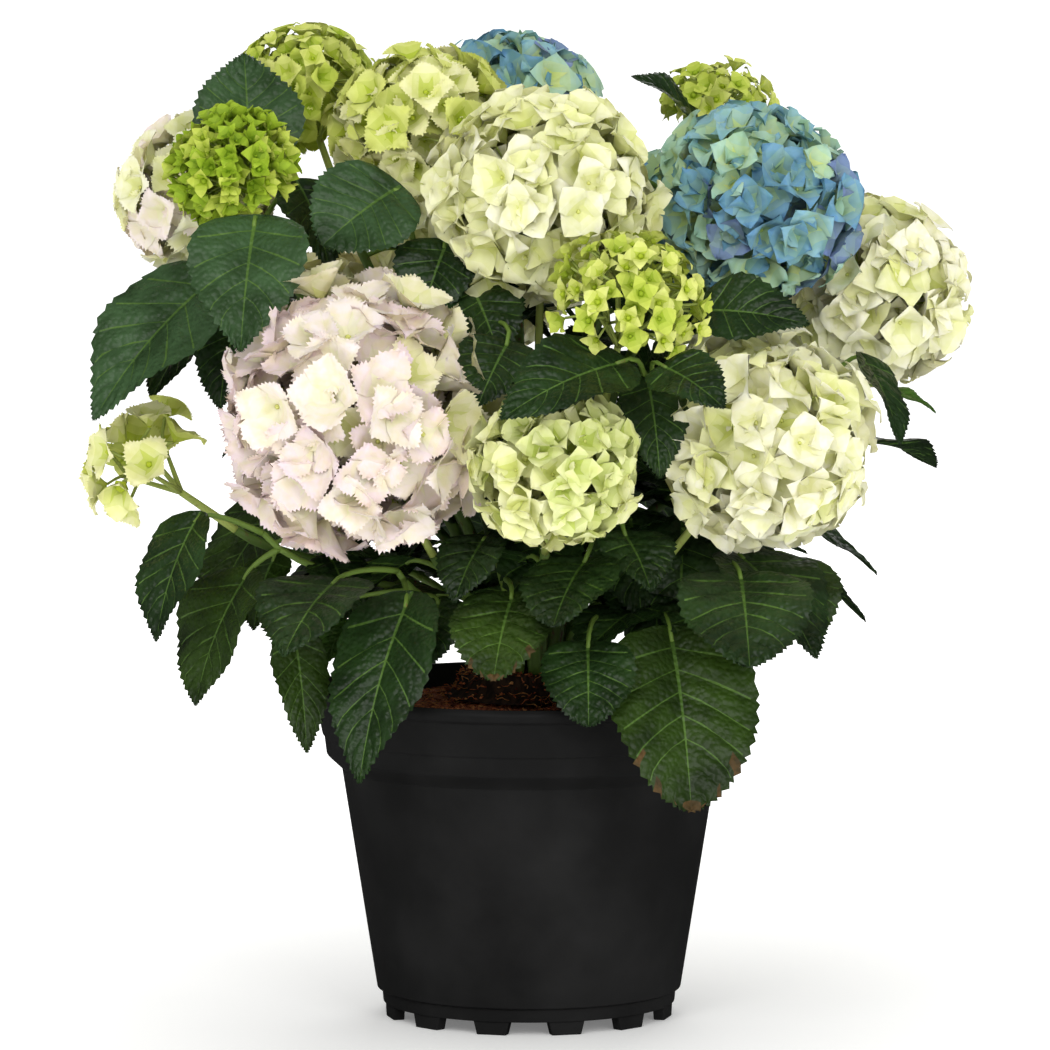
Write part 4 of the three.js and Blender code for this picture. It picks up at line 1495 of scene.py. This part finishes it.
    def kept(self, node: str, tip: Vector) -> bool:
        """Returns whether the solids of a node have a corner at the tip of a leaf."""
        corners = self.corners.setdefault(
            node, np.array([tuple(vertex.co) for vertex in frame["nodes"][node].data.vertices]) / MM
        )
        return bool(np.linalg.norm(corners - np.array(tip), axis=1).min() < self.same)

    def pair_leaves(self, mass: Mass, stem: Path, order: int) -> Iterable[tuple[np.ndarray, Leaf]]:
        """Yields the pairs of leaves along a stem as the solids have them.

        Args:
            mass: the mass.
            stem: its stem.
            order: its number among the masses.

        Yields:
            The place on the stem and the leaf.
        """
        chance = Chance(int(self.pair["seed"]) + order)
        outward = math.atan2(mass.end.y, mass.end.x)
        for number in range(mass.pairs):
            share = number / (mass.pairs - 1) if mass.pairs > 1 else 1.0
            place = stem.at(self.pair["first"] + (self.pair["last"] - self.pair["first"]) * share)
            fan = self.pair["wide"] if number % 2 else self.pair["fan"]
            for side in (-1, 1):
                turn = outward + math.radians(side * fan + self.pair["uneven"] * (chance() - 0.5))
                size = self.pair["smallest"] + self.pair["larger"] * chance()
                drop = math.radians(self.pair["droop"] + self.pair["uneven"] * chance())
                reach = level(turn, math.tan(math.radians(self.pair["pitch"])))
                hang = level(turn, -math.tan(drop))
                foot = Vector(place) + reach.normalized() * self.pair["petiole"] * size
                tip = foot + hang.normalized() * self.pair["length"] * size
                if self.kept(f"leaves_{mass.name}", tip):
                    tone = Tone.OLIVE if chance.state % 3 == 0 else Tone.DARK
                    yield place, Leaf(tuple(foot), tuple(tip), self.pair["width"] * size, 0.0, tone)

    def inner_leaves(self, path: Path, number: int) -> Iterable[tuple[np.ndarray, Leaf]]:
        """Yields smaller leaves along a cane that fill the crown, clear of the heads and inside its reach.

        Args:
            path: the cane.
            number: which cane it is.

        Yields:
            The place on the cane and the leaf.
        """
        inner = self.inner
        chance = Chance(int(inner["seed"]) + number)
        for tier, share in enumerate((0.5, 0.7, 0.88)):
            place = path.at(share)
            for side in (0, 1):
                turn = GOLDEN_ANGLE * number + math.pi * (side + 0.5 * tier)
                turn += chance.between(-inner["uneven"], inner["uneven"])
                size = chance.between(inner["smallest"], 1.0)
                drop = math.radians(chance.between(inner["flattest"], inner["steepest"]))
                foot = Vector(place) + level(turn, inner["pitch"]).normalized() * inner["petiole"] * size
                tip = foot + level(turn, -math.tan(drop)).normalized() * inner["length"] * size
                middle = (foot + tip) / 2
                spots = (foot, middle, tip)
                crowded = any(head.holds(spot, inner["clear"]) for head in HEADS for spot in spots)
                ahead = tip.y < inner["front"] or middle.y < inner["front_middle"]
                x, y, z = self.crown
                above = max(0.0, tip.z - self.crown_middle)
                far = math.hypot(tip.x / x, tip.y / y, above / z)
                if not (crowded or ahead or far > inner["inside"] or tip.z < self.crown_floor):
                    roll = chance.between(-inner["roll"], inner["roll"])
                    yield place, Leaf(tuple(foot), tuple(tip), inner["width"] * size, roll)

    def build(self) -> None:
        """Makes the stems, the stalks and the blades."""
        for order, mass in enumerate(MASSES):
            stem = self.plan.stems[mass.name]
            line = stem.at(np.linspace(0, 1, 13))
            tube(self.stalks, line, np.linspace(self.stem_foot, self.stem_tip, 13), 9)
            for leaf in (*mass.leaves, *BEHIND.get(mass.name, ())):
                self.add_leaf(stem, leaf)
            for place, leaf in self.pair_leaves(mass, stem, order):
                self.add_leaf(stem, leaf, place)
        for number, path in enumerate(self.plan.canes.values()):
            for place, leaf in self.inner_leaves(path, number):
                self.add_leaf(path, leaf, place)
        log.info("%d leaves", self.grown)
        nodes = [f"leaves_{mass.name}" for mass in MASSES]
        for tone, sheets in self.blades.items():
            finishes = [made(tone.value), made(VEIN), made(SCORCH)]
            blades = sheets.mesh(f"blades_{tone.name.lower()}", finishes)
            place_piece(blades, "leaf", nodes if tone is Tone.DARK else ())
        place_piece(self.stalks.mesh("leaf_stalks", [made(STALK_SKIN)]), "leaf")


# ---------- Flower heads ----------
SLOTS = {
    BLUSH: "blush_sepals", SNOW: "ivory_sepals", IVORY: "ivory_sepals", CREAM: "ivory_sepals",
    JADE: "jade_sepals", SKY: "sky_sepals", LIME: "lime_sepals", FRESH_LIME: "lime_sepals",
    GREEN: "green_buds",
}


@dataclass
class Blossom:
    """The flower heads: florets on a golden-angle spiral, and the rays and stems that carry them."""

    levels: int = 3  # depths that the florets of a layer take in turn, so that they lap over one another
    dip: float = 0.1  # how far the head lies in between its swellings, as a share of its radius
    waves: tuple[float, float] = (4.1, 3.7)  # how fast the swellings follow one another, across and deep
    free: float = 1.0  # share of a head's reach within which the sepals keep their shape
    stem: float = 2.2
    stem_tip: float = 1.9
    clearance: float = 0.3
    branching: float = 1.3  # height of the ball, from its top, that has branches
    lifted: float = 0.75  # how far their ends lie from the hub towards the head's middle
    parted: float = 0.42  # and how far out from there, as a share of its radius
    rays: Sheets = field(default_factory=Sheets)

    @functools.cache
    def templates(self, forms: tuple[FloretForm, ...]) -> bpy.types.Collection:
        """Returns the shapes of some kinds of floret, kind by kind."""
        meshes = [form.mesh(variant) for form in forms for variant in range(form.variants)]
        return template_collection("florets", meshes)

    def __hash__(self) -> int:
        """Lets the templates be kept."""
        return id(self)

    def head(self, head: Head, order: int) -> None:
        """Dresses one head.

        Args:
            head: the head.
            order: its number, which is its seed.
        """
        cluster = head.cluster
        chance = Chance(order + 1)
        turn = UP.rotation_difference(head.axis)
        count = round(cluster.density * head.radius**2)
        forms = tuple(form for form, _ in cluster.forms)
        cloud = PointCloud()
        hubs = self.branches(head, turn)
        layers = ((count, cluster.depth), (round(count * cluster.under), cluster.under_depth))
        for layer, (total, depths) in enumerate(layers):
            for number in range(total):
                height = 1 - 2 * cluster.spread * (number + chance.between(0.3, 0.7)) / total
                out = on_ball(height, number * GOLDEN_ANGLE + chance.between(-0.2, 0.2) + layer)
                flat = Vector((out.x, out.y, out.z * head.flatten))
                looking = turn @ out
                step = (number % self.levels + chance.between(0.1, 0.9)) / self.levels
                swing = math.sin(self.waves[0] * out.x + order) * math.cos(self.waves[1] * out.y - order)
                swell = 1 - self.dip * (0.5 + 0.5 * swing)
                depth = swell * (depths[0] + (depths[1] - depths[0]) * step)
                place = head.middle + turn @ flat * head.radius * depth
                about = Vector([chance.between(-1, 1) for _ in range(3)]).normalized()
                lean = Quaternion(about, math.radians(cluster.tilt) * chance())
                facing = (lean @ looking).normalized()
                spin = Quaternion(UP, chance.between(0, 2 * math.pi))
                width = cluster.width * (1 + cluster.uneven * chance.between(-1, 1))
                kind = self.pick([share for _, share in cluster.forms], chance())
                shape = kind * forms[kind].variants + int(chance() * forms[kind].variants)
                tint = self.pick([each.odds(looking) for each in head.tints], chance())
                cloud.add(place, UP.rotation_difference(facing) @ spin, width / 2, shape, tint)
                if layer == 0:
                    self.add_ray(head, hubs, place, cluster.ray)
        finishes = {
            number * FloretForm.ZONES + zone: material
            for number, each in enumerate(head.tints)
            for zone, material in enumerate(each.finishes())
        }
        scatter = Scatter(self.templates(forms), finishes, FloretForm.ZONES)
        mesh = scatter.spread(cloud, f"florets_{head.name}")
        self.hold_in(mesh, head)
        place_piece(mesh, SLOTS[head.tints], [f"head_{head.name}"])

    def hold_in(self, mesh: bpy.types.Mesh, head: Head) -> None:
        """Draws in the tips of the sepals so that none leaves the head's reach.

        Args:
            mesh: the head's florets.
            head: the head.
        """
        places = np.empty(len(mesh.vertices) * 3, np.float32)
        mesh.vertices.foreach_get("co", places)
        away = places.reshape(-1, 3) / MM - np.array(head.middle)
        axis = np.array(head.axis)
        rising = away @ axis
        beside = away - rising[:, None] * axis
        far = np.sqrt((beside**2).sum(axis=1) + (rising / head.flatten) ** 2) / head.radius
        free = self.free * min(head.reach, 1.0)
        give = max(head.reach - free, 1e-6)
        held = np.where(far > free, free + give * (1 - np.exp(-np.maximum(far - free, 0) / give)), far)
        away *= (held / np.maximum(far, 1e-6))[:, None]
        mesh.vertices.foreach_set("co", ((away + np.array(head.middle)) * MM).astype(np.float32).ravel())
        mesh.update()

    def pick(self, odds: Sequence[float], draw: float) -> int:
        """Returns the number of one of several odds, by a draw from 0 to 1."""
        bounds = np.cumsum(odds) / sum(odds)
        return int(min(np.searchsorted(bounds, draw), len(odds) - 1))

    def branches(self, head: Head, turn: Quaternion) -> list[Vector]:
        """Adds the head's stem and its branches, and returns where the rays may start."""
        start = head.stem_foot + head.axis * self.clearance
        line = Path([start, head.hub]).at(np.linspace(0, 1, 7))
        tube(self.rays, line, np.linspace(self.stem, self.stem_tip, 7), 9)
        if not head.cluster.hubs:
            return [head.hub]
        found = []
        for number in range(head.cluster.hubs):
            height = 1 - self.branching * (number + 0.5) / head.cluster.hubs
            out = turn @ on_ball(height, number * GOLDEN_ANGLE)
            node = head.hub + (head.middle - head.hub) * self.lifted + out * head.radius * self.parted
            branch = Path([head.hub, node]).at(np.linspace(0, 1, 4))
            tube(self.rays, branch, np.linspace(head.cluster.ray * 1.7, head.cluster.ray * 1.2, 4), 6)
            found.append(node)
        return found

    def add_ray(self, head: Head, hubs: Sequence[Vector], place: Vector, radius: float) -> None:
        """Adds the ray of one floret, from the nearest branch, bent out of the straight a little."""
        start = min(hubs, key=lambda hub: (hub - place).length)
        reach = (place - start).length
        middle = start + head.axis * reach * 0.3
        line = Path([start, middle, place - (place - head.middle) * 0.12, place]).at(np.linspace(0, 1, 4))
        tube(self.rays, line, np.linspace(radius * 1.2, radius, 4), 4)

    def build(self) -> None:
        """Dresses every head."""
        for order, head in enumerate(HEADS):
            self.head(head, order)
        place_piece(self.rays.mesh("flower_rays", [made(RAY_SKIN)]), "cane_bark")


# ---------- Pot and compost ----------
@dataclass
class Pot:
    """A round nursery pot: straight wall, ledge, collar with a raised line, rolled lip and cut feet."""

    floor: float = 7.0
    floor_thickness: float = 3.0
    wall: float = 2.0
    skirt: tuple[float, float, float] = (77.4, 76.8, 13.6)
    wall_foot: tuple[float, float] = (80.0, 14.8)
    wall_top: tuple[float, float] = (98.4, 131.0)
    collar_foot: tuple[float, float] = (106.4, 138.5)
    line: tuple[float, float, float] = (107.6, 148.0, 1.0)
    collar_top: tuple[float, float] = (112.0, 166.0)
    lip: float = 115.0
    lip_foot: float = 167.5
    height: float = 174.0
    inner: float = 110.0
    sides: int = 120
    rounding: float = 0.6
    feet: int = 12
    foot_size: tuple[float, float, float] = (19.7, 6.0, 8.0)
    foot_radius: float = 72.6
    foot_taper: float = 0.8

    def profile(self) -> list[tuple[float, float, float]]:
        """Returns radius, height and rounding of the section's corners, from the axis below to that inside."""
        top, foot, step = self.skirt
        line, line_height, proud = self.line
        soft = self.rounding
        return [
            (0, self.floor, 0), (foot, self.floor, soft), (top, step, 0.3), (*self.wall_foot, 0.3),
            (*self.wall_top, 0.5), (self.collar_foot[0] - 2, self.collar_foot[1] - 2, soft),
            (*self.collar_foot, soft), (line, line_height, 0.3), (line + proud, line_height + proud, 0.4),
            (*self.collar_top, soft), (self.lip - 0.8, self.lip_foot, soft), (self.lip, self.height - 3, 1.2),
            (self.lip - 2, self.height, 1.2), (self.inner + 1.4, self.height - 0.8, soft),
            (self.inner, self.lip_foot, soft),
            (self.collar_foot[0] - self.wall, self.collar_foot[1] + 2, soft),
            (self.wall_top[0] - self.wall, self.wall_top[1] + 2, soft),
            (foot - self.wall, self.floor + self.floor_thickness, soft),
            (0, self.floor + self.floor_thickness, 0),
        ]

    def rounded(self, corners: Sequence[tuple[float, float, float]], cuts: int = 3) -> np.ndarray:
        """Rounds the corners of a section.

        Args:
            corners: radius, height and rounding of each corner.
            cuts: how many pieces an arc has.

        Returns:
            The section's points.
        """
        places = np.array([corner[:2] for corner in corners])
        done = [places[0]]
        for before, here, after, (_, _, round_by) in zip(places, places[1:], places[2:], corners[1:]):
            back, on = before - here, after - here
            cut = min(round_by, np.linalg.norm(back) * 0.4, np.linalg.norm(on) * 0.4)
            start = here + back / np.linalg.norm(back) * cut
            end = here + on / np.linalg.norm(on) * cut
            for share in np.linspace(0, 1, cuts + 1):
                done.append((1 - share) ** 2 * start + 2 * share * (1 - share) * here + share**2 * end)
        return np.array([*done, places[-1]])

    def wall_mesh(self) -> bpy.types.Mesh:
        """Returns the pot's turned body."""
        section = self.rounded(self.profile())
        angles = circle(self.sides)
        rings = section[1:-1]
        skin = np.stack([
            rings[:, :1] * np.sin(angles), rings[:, :1] * np.cos(angles),
            np.repeat(rings[:, 1:], self.sides, axis=1),
        ], axis=-1).reshape(-1, 3)
        faces = [tuple(face[::-1]) for face in grid_faces(len(rings) - 1, self.sides, ring=True).tolist()]
        last = len(skin)
        faces += fan(self.sides, 0, last) + fan(self.sides, last - self.sides, last + 1, back=True)
        points = np.concatenate([skin, [(0, 0, section[0][1])], [(0, 0, section[-1][1])]])
        sheets = Sheets()
        sheets.add(points, faces)
        return sheets.mesh("pot_body", [made(PlasticFinish())])

    def foot_mesh(self) -> bpy.types.Mesh:
        """Returns one foot block, narrower below, standing at the middle of the ring that repeats it."""
        wide, deep, tall = self.foot_size
        corners = [
            (x * wide / 2 * taper * MM, y * deep / 2 * MM, height * MM)
            for taper, height in ((self.foot_taper, 0), (1, tall))
            for x, y in ((-1, -1), (1, -1), (1, 1), (-1, 1))
        ]
        mesh = bpy.data.meshes.new("foot")
        sides = [(side, (side + 1) % 4, 4 + (side + 1) % 4, 4 + side) for side in range(4)]
        mesh.from_pydata(corners, [], [(3, 2, 1, 0), (4, 5, 6, 7), *sides])
        block = add_object("foot", mesh)
        bevel = block.modifiers.new("edge", "BEVEL")
        bevel.width = self.rounding * MM
        bevel.segments = 2
        return evaluated_mesh(block, "foot")

    def feet_tree(self) -> bpy.types.NodeTree:
        """Returns the tree that repeats the foot round the pot."""
        sockets = (("Block", "Geometry"), ("Count", "Int"), ("Ring Radius", "Float"), ("Finish", "Material"))
        tree, inputs = new_tree("feet", sockets)
        ring = add_node(
            tree, "GeometryNodeMeshCircle",
            {"Vertices": inputs.outputs["Count"], "Radius": inputs.outputs["Ring Radius"]},
        )
        number = add_node(tree, "GeometryNodeInputIndex").outputs[0]
        step = add_node(tree, "ShaderNodeMath", {0: math.tau, 1: inputs.outputs["Count"]}, operation="DIVIDE")
        half = add_node(tree, "ShaderNodeMath", {0: number, 1: 0.5}, operation="ADD")
        angle = add_node(
            tree, "ShaderNodeMath", {0: half.outputs[0], 1: step.outputs[0]}, operation="MULTIPLY"
        )
        outward = add_node(tree, "ShaderNodeMath", {0: angle.outputs[0], 1: math.pi / 2}, operation="ADD")
        turn = add_node(tree, "ShaderNodeCombineXYZ", {"Z": outward.outputs[0]})
        shift = add_node(tree, "ShaderNodeCombineXYZ", {"Z": step.outputs[0]})
        halfway = add_node(
            tree, "ShaderNodeVectorMath", {0: shift.outputs[0], "Scale": 0.5}, operation="SCALE"
        )
        turned = add_node(
            tree, "GeometryNodeTransform", {0: ring.outputs[0], "Rotation": halfway.outputs[0]}
        )
        placed = add_node(
            tree, "GeometryNodeInstanceOnPoints",
            {"Points": turned.outputs[0], "Instance": inputs.outputs["Block"], "Rotation": turn.outputs[0]},
        )
        whole = add_node(tree, "GeometryNodeRealizeInstances", {0: placed.outputs[0]})
        dressed = add_node(
            tree, "GeometryNodeSetMaterial",
            {"Geometry": whole.outputs[0], "Material": inputs.outputs["Finish"]},
        )
        add_node(tree, "NodeGroupOutput", {0: dressed.outputs[0]})
        return tree

    def feet_mesh(self) -> bpy.types.Mesh:
        """Returns the ring of feet."""
        ring = add_object("feet", self.foot_mesh())
        values = {"Count": self.feet, "Ring Radius": self.foot_radius * MM, "Finish": made(PlasticFinish())}
        return grown_mesh(ring, self.feet_tree(), values, "pot_feet")

    def build(self) -> None:
        """Makes the pot's body and its feet."""
        place_piece(self.wall_mesh(), "pot_plastic", ["pot"])
        place_piece(self.feet_mesh(), "pot_plastic")


@dataclass
class Compost:
    """The compost: an uneven bed, and crumbs and fibres strewn over it."""

    flat: float = 50.0
    height: float = 168.0
    edge: float = 161.0
    edge_radius: float = 108.1
    shoulder: tuple[float, float] = (103.9, 140.8)
    rings: int = 44
    sides: int = 150
    bump: float = 1.8
    # radius and height of the rings of the skin over the stock
    heap: tuple[tuple[float, float], ...] = ((2, 182.6), (35.5, 182.6), (38.4, 174.6), (45.6, 168.6))
    crumbs: float = 62000.0  # for each square metre
    reach: float = 98.0  # of the litter, from the middle
    seed: int = 7

    def bed(self, heaped: bool = False) -> bpy.types.Mesh:
        """Makes the bed, closed below.

        Args:
            heaped: whether the skin over the stock is added, for the litter that lies on it.

        Returns:
            The mesh.
        """
        radii = self.edge_radius * np.linspace(1 / self.rings, 1, self.rings)
        angles = circle(self.sides)
        rim = np.stack([np.sin(angles), np.cos(angles), angles * 0], axis=-1)
        radius, turn = np.meshgrid(radii, angles, indexing="ij")
        x, y = radius * np.sin(turn), radius * np.cos(turn)
        slope = np.interp(radius, [self.flat, self.edge_radius], [self.height - self.bump, self.edge])
        rough = sum(
            np.sin(x * pace + 1.7 * number) * np.cos(y * pace * 1.1 - 2.3 * number) / (1 + number)
            for number, pace in enumerate((0.11, 0.27, 0.61, 1.05))
        )
        top = np.stack([x, y, slope + self.bump * 0.5 * rough], axis=-1).reshape(-1, 3)
        low = rim * self.shoulder[0] + (0, 0, self.shoulder[1])
        points = np.concatenate([top, low, [(0, 0, self.height - self.bump)], [(0, 0, self.shoulder[1])]])
        faces = [tuple(face) for face in grid_faces(self.rings, self.sides, ring=True).tolist()]
        last, under = len(top) + len(low), len(top)
        faces += fan(self.sides, 0, last, back=True) + fan(self.sides, under, last + 1)
        sheets = Sheets()
        sheets.add(points, faces)
        if heaped:
            skin = np.concatenate([rim * size + (0, 0, height) for size, height in self.heap])
            sheets.add(skin, grid_faces(len(self.heap) - 1, self.sides, ring=True).tolist())
        return sheets.mesh("compost_bed", [made(PeatFinish("moist_peat", "#7c402c", "#c0704a"))])

    def litter(self) -> bpy.types.Collection:
        """Returns the shapes that are strewn: crumbs of bark and curled fibres, one millimetre across."""
        meshes = []
        for number in range(5):
            chance = Chance(61 + number)
            crumb = bpy.data.meshes.new("crumb")
            ball = [(1, 0, 0), (0, 1, 0), (-1, 0, 0), (0, -1, 0), (0, 0, 0.8), (0, 0, -0.8)]
            uneven = [[size * chance.between(0.6, 1.3) * MM for size in corner] for corner in ball]
            crumb.from_pydata(uneven, [], fan(4, 0, 4) + fan(4, 0, 5, back=True))
            meshes.append(crumb)
        for number in range(4):
            chance = Chance(83 + number)
            bend = [
                Vector((step * 1.1 - 3.3, chance.between(-1, 1) * 1.2, 0.9 * math.sin(step)))
                for step in range(7)
            ]
            sheets = Sheets()
            tube(sheets, np.array([tuple(point) for point in bend]), np.linspace(0.32, 0.14, 7), 3)
            meshes.append(sheets.mesh("fibre", []))
        return template_collection("litter", meshes)

    def strewing(self, finishes: Sequence[bpy.types.Material]) -> bpy.types.NodeTree:
        """Returns the tree that strews the litter over the bed, in turn in each finish."""
        tree, inputs = new_tree("strew", (
            ("Bed", "Geometry"), ("Litter", "Collection"), ("Density", "Float"), ("Seed", "Int"),
            ("Reach", "Float"),
        ))
        facing = add_node(tree, "GeometryNodeInputNormal")
        parts = add_node(tree, "ShaderNodeSeparateXYZ", {0: facing.outputs[0]})
        upper = add_node(tree, "ShaderNodeMath", {0: parts.outputs["Z"], 1: 0.2}, operation="GREATER_THAN")
        place = add_node(tree, "GeometryNodeInputPosition")
        flat = add_node(
            tree, "ShaderNodeVectorMath", {0: place.outputs[0], 1: (1.0, 1.0, 0.0)}, operation="MULTIPLY"
        )
        away = add_node(tree, "ShaderNodeVectorMath", {0: flat.outputs[0]}, operation="LENGTH")
        near = add_node(
            tree, "ShaderNodeMath", {0: away.outputs["Value"], 1: inputs.outputs["Reach"]},
            operation="LESS_THAN",
        )
        chosen = add_node(
            tree, "ShaderNodeMath", {0: upper.outputs[0], 1: near.outputs[0]}, operation="MULTIPLY"
        )
        points = add_node(
            tree, "GeometryNodeDistributePointsOnFaces",
            {
                "Mesh": inputs.outputs["Bed"], "Selection": chosen.outputs[0],
                "Density": inputs.outputs["Density"], "Seed": inputs.outputs["Seed"],
            },
        )
        source = add_node(
            tree, "GeometryNodeCollectionInfo",
            {"Collection": inputs.outputs["Litter"], "Separate Children": True, "Reset Children": True},
        )
        draws = {
            key: add_node(
                tree, "FunctionNodeRandomValue", {"Min": low, "Max": high, "Seed": seed}, data_type=kind
            )
            for key, kind, low, high, seed in (
                ("turn", "FLOAT_VECTOR", (-0.5, -0.5, 0.0), (0.5, 0.5, math.tau), 1),
                ("size", "FLOAT_VECTOR", (0.5, 0.5, 0.5), (1.7, 1.7, 1.4), 2),
            )
        }
        placed = add_node(
            tree, "GeometryNodeInstanceOnPoints",
            {
                "Points": points.outputs[0], "Instance": source.outputs[0], "Pick Instance": True,
                "Rotation": draws["turn"].outputs[0], "Scale": draws["size"].outputs[0],
            },
        )
        number = add_node(tree, "GeometryNodeInputIndex").outputs[0]
        kept = add_node(
            tree, "GeometryNodeStoreNamedAttribute",
            {"Geometry": placed.outputs[0], "Name": "tint", "Value": number},
            data_type="INT", domain="INSTANCE",
        )
        geometry = add_node(tree, "GeometryNodeRealizeInstances", {0: kept.outputs[0]}).outputs[0]
        tint = add_node(tree, "GeometryNodeInputNamedAttribute", {"Name": "tint"}, data_type="INT").outputs[0]
        turn = add_node(tree, "ShaderNodeMath", {0: tint, 1: float(len(finishes))}, operation="MODULO")
        deal(tree, geometry, turn.outputs[0], enumerate(finishes))
        return tree

    def build(self) -> None:
        """Makes the bed and its litter."""
        bed = self.bed()
        finishes = [
            made(PeatFinish("bark_crumb", "#ac5634", "#e6945f")),
            made(PeatFinish("dark_crumb", "#4a2518", "#8a4830")),
            made(PeatFinish("coir_fibre", "#b06a3a", "#dca468")),
        ]
        carrier = add_object("litter", self.bed(heaped=True))
        values = {
            "Litter": self.litter(), "Density": self.crumbs, "Seed": self.seed, "Reach": self.reach * MM
        }
        place_piece(grown_mesh(carrier, self.strewing(finishes), values, "compost_litter"), "compost")
        place_piece(bed, "compost", ["compost"])


# ---------- Studio ----------
@dataclass
class Studio:
    """A pale floor, soft light from large panels, and the camera."""

    floor_radius: float = 60.0
    floor_sides: int = 64
    panels: tuple[tuple[str, tuple[float, float, float], float, float], ...] = (
        ("key", (-0.8, -2.8, 2.1), 1.6, 33.0),
        ("fill", (1.2, -2.8, 1.2), 1.3, 22.0),
        ("back", (0.5, 2.6, 2.4), 1.8, 32.0),
    )  # name, place, side and power
    aim: float = 0.28  # height that the panels face
    camera_place: tuple[float, float, float] = (-0.0021, -3.5, 0.583)
    pitch: float = 84.698
    lens: float = 229.8
    sensor: float = 36.0
    backdrop: str = "#ffffff"
    ambient: float = 0.6
    reflected: float = 0.07

    def build(self) -> None:
        """Makes the floor, the sky, the lights and the camera."""
        self.make_floor()
        self.make_sky()
        for name, place, size, power in self.panels:
            self.make_panel(name, Vector(place), size, power)
        self.make_camera()
        bpy.context.scene.view_settings.view_transform = "Standard"

    def make_floor(self) -> None:
        """Makes the floor as one wide round sheet."""
        mesh = bpy.data.meshes.new("floor")
        corners = [level(turn) * self.floor_radius for turn in circle(self.floor_sides)]
        mesh.from_pydata(corners, [], [tuple(range(self.floor_sides))])
        mesh.materials.append(made(FloorFinish()))
        floor = add_object("floor", mesh)
        floor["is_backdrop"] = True

    def make_sky(self) -> None:
        """Lights the scene evenly, with a dimmer room in the reflections so that dark gloss stays dark."""
        world = bpy.data.worlds.new("studio")
        world.use_nodes = True
        tree = world.node_tree
        tree.nodes.clear()
        rays = add_node(tree, "ShaderNodeLightPath")
        dimmed = add_node(
            tree, "ShaderNodeMapRange",
            {"Value": rays.outputs["Is Glossy Ray"], "To Min": self.ambient, "To Max": self.reflected},
        )
        seen = add_node(
            tree, "ShaderNodeMath", {0: rays.outputs["Is Camera Ray"], 1: dimmed.outputs[0]},
            operation="MAXIMUM",
        )
        light = add_node(
            tree, "ShaderNodeBackground", {"Color": linear(self.backdrop), "Strength": seen.outputs[0]}
        )
        add_node(tree, "ShaderNodeOutputWorld", {"Surface": light.outputs[0]})
        bpy.context.scene.world = world

    def make_panel(self, name: str, place: Vector, size: float, power: float) -> None:
        """Makes a square light panel that faces the middle of the plant."""
        lamp = bpy.data.lights.new(name, "AREA")
        lamp.shape = "SQUARE"
        lamp.size = size
        lamp.energy = power
        panel = add_object(name, lamp)
        turn = (UP * self.aim - place).to_track_quat("-Z", "Y")
        panel.matrix_world = Matrix.Translation(place) @ turn.to_matrix().to_4x4()
        panel.visible_camera = False

    def make_camera(self) -> None:
        """Makes the camera, level with the flowers and looking a little down."""
        view = bpy.data.cameras.new("camera")
        view.sensor_width = self.sensor
        view.lens = self.lens
        camera = add_object("camera", view)
        camera.location = self.camera_place
        camera.rotation_euler = (math.radians(self.pitch), 0, 0)
        bpy.context.scene.camera = camera


def plain_box() -> list[list[float]]:
    """Returns the whole object's box as plain lists."""
    return [[float(size) for size in corner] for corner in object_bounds()]


def main() -> None:
    """Builds the plant in its pot, and the studio round it."""
    logging.basicConfig(level=logging.INFO, format="%(name)s: %(message)s")
    solids = plain_box()
    Studio().build()
    plan = Plan()
    Pot().build()
    Compost().build()
    Stock().build()
    Canes(plan).build()
    Foliage(plan).build()
    Blossom().build()
    for name in ("florets", "litter"):
        for collection in [each for each in bpy.data.collections if each.name.startswith(name)]:
            for template in list(collection.objects):
                bpy.data.objects.remove(template)
            bpy.data.collections.remove(collection)
    {"solids": solids, "visual": plain_box()}


if __name__ == "__main__":
    main()
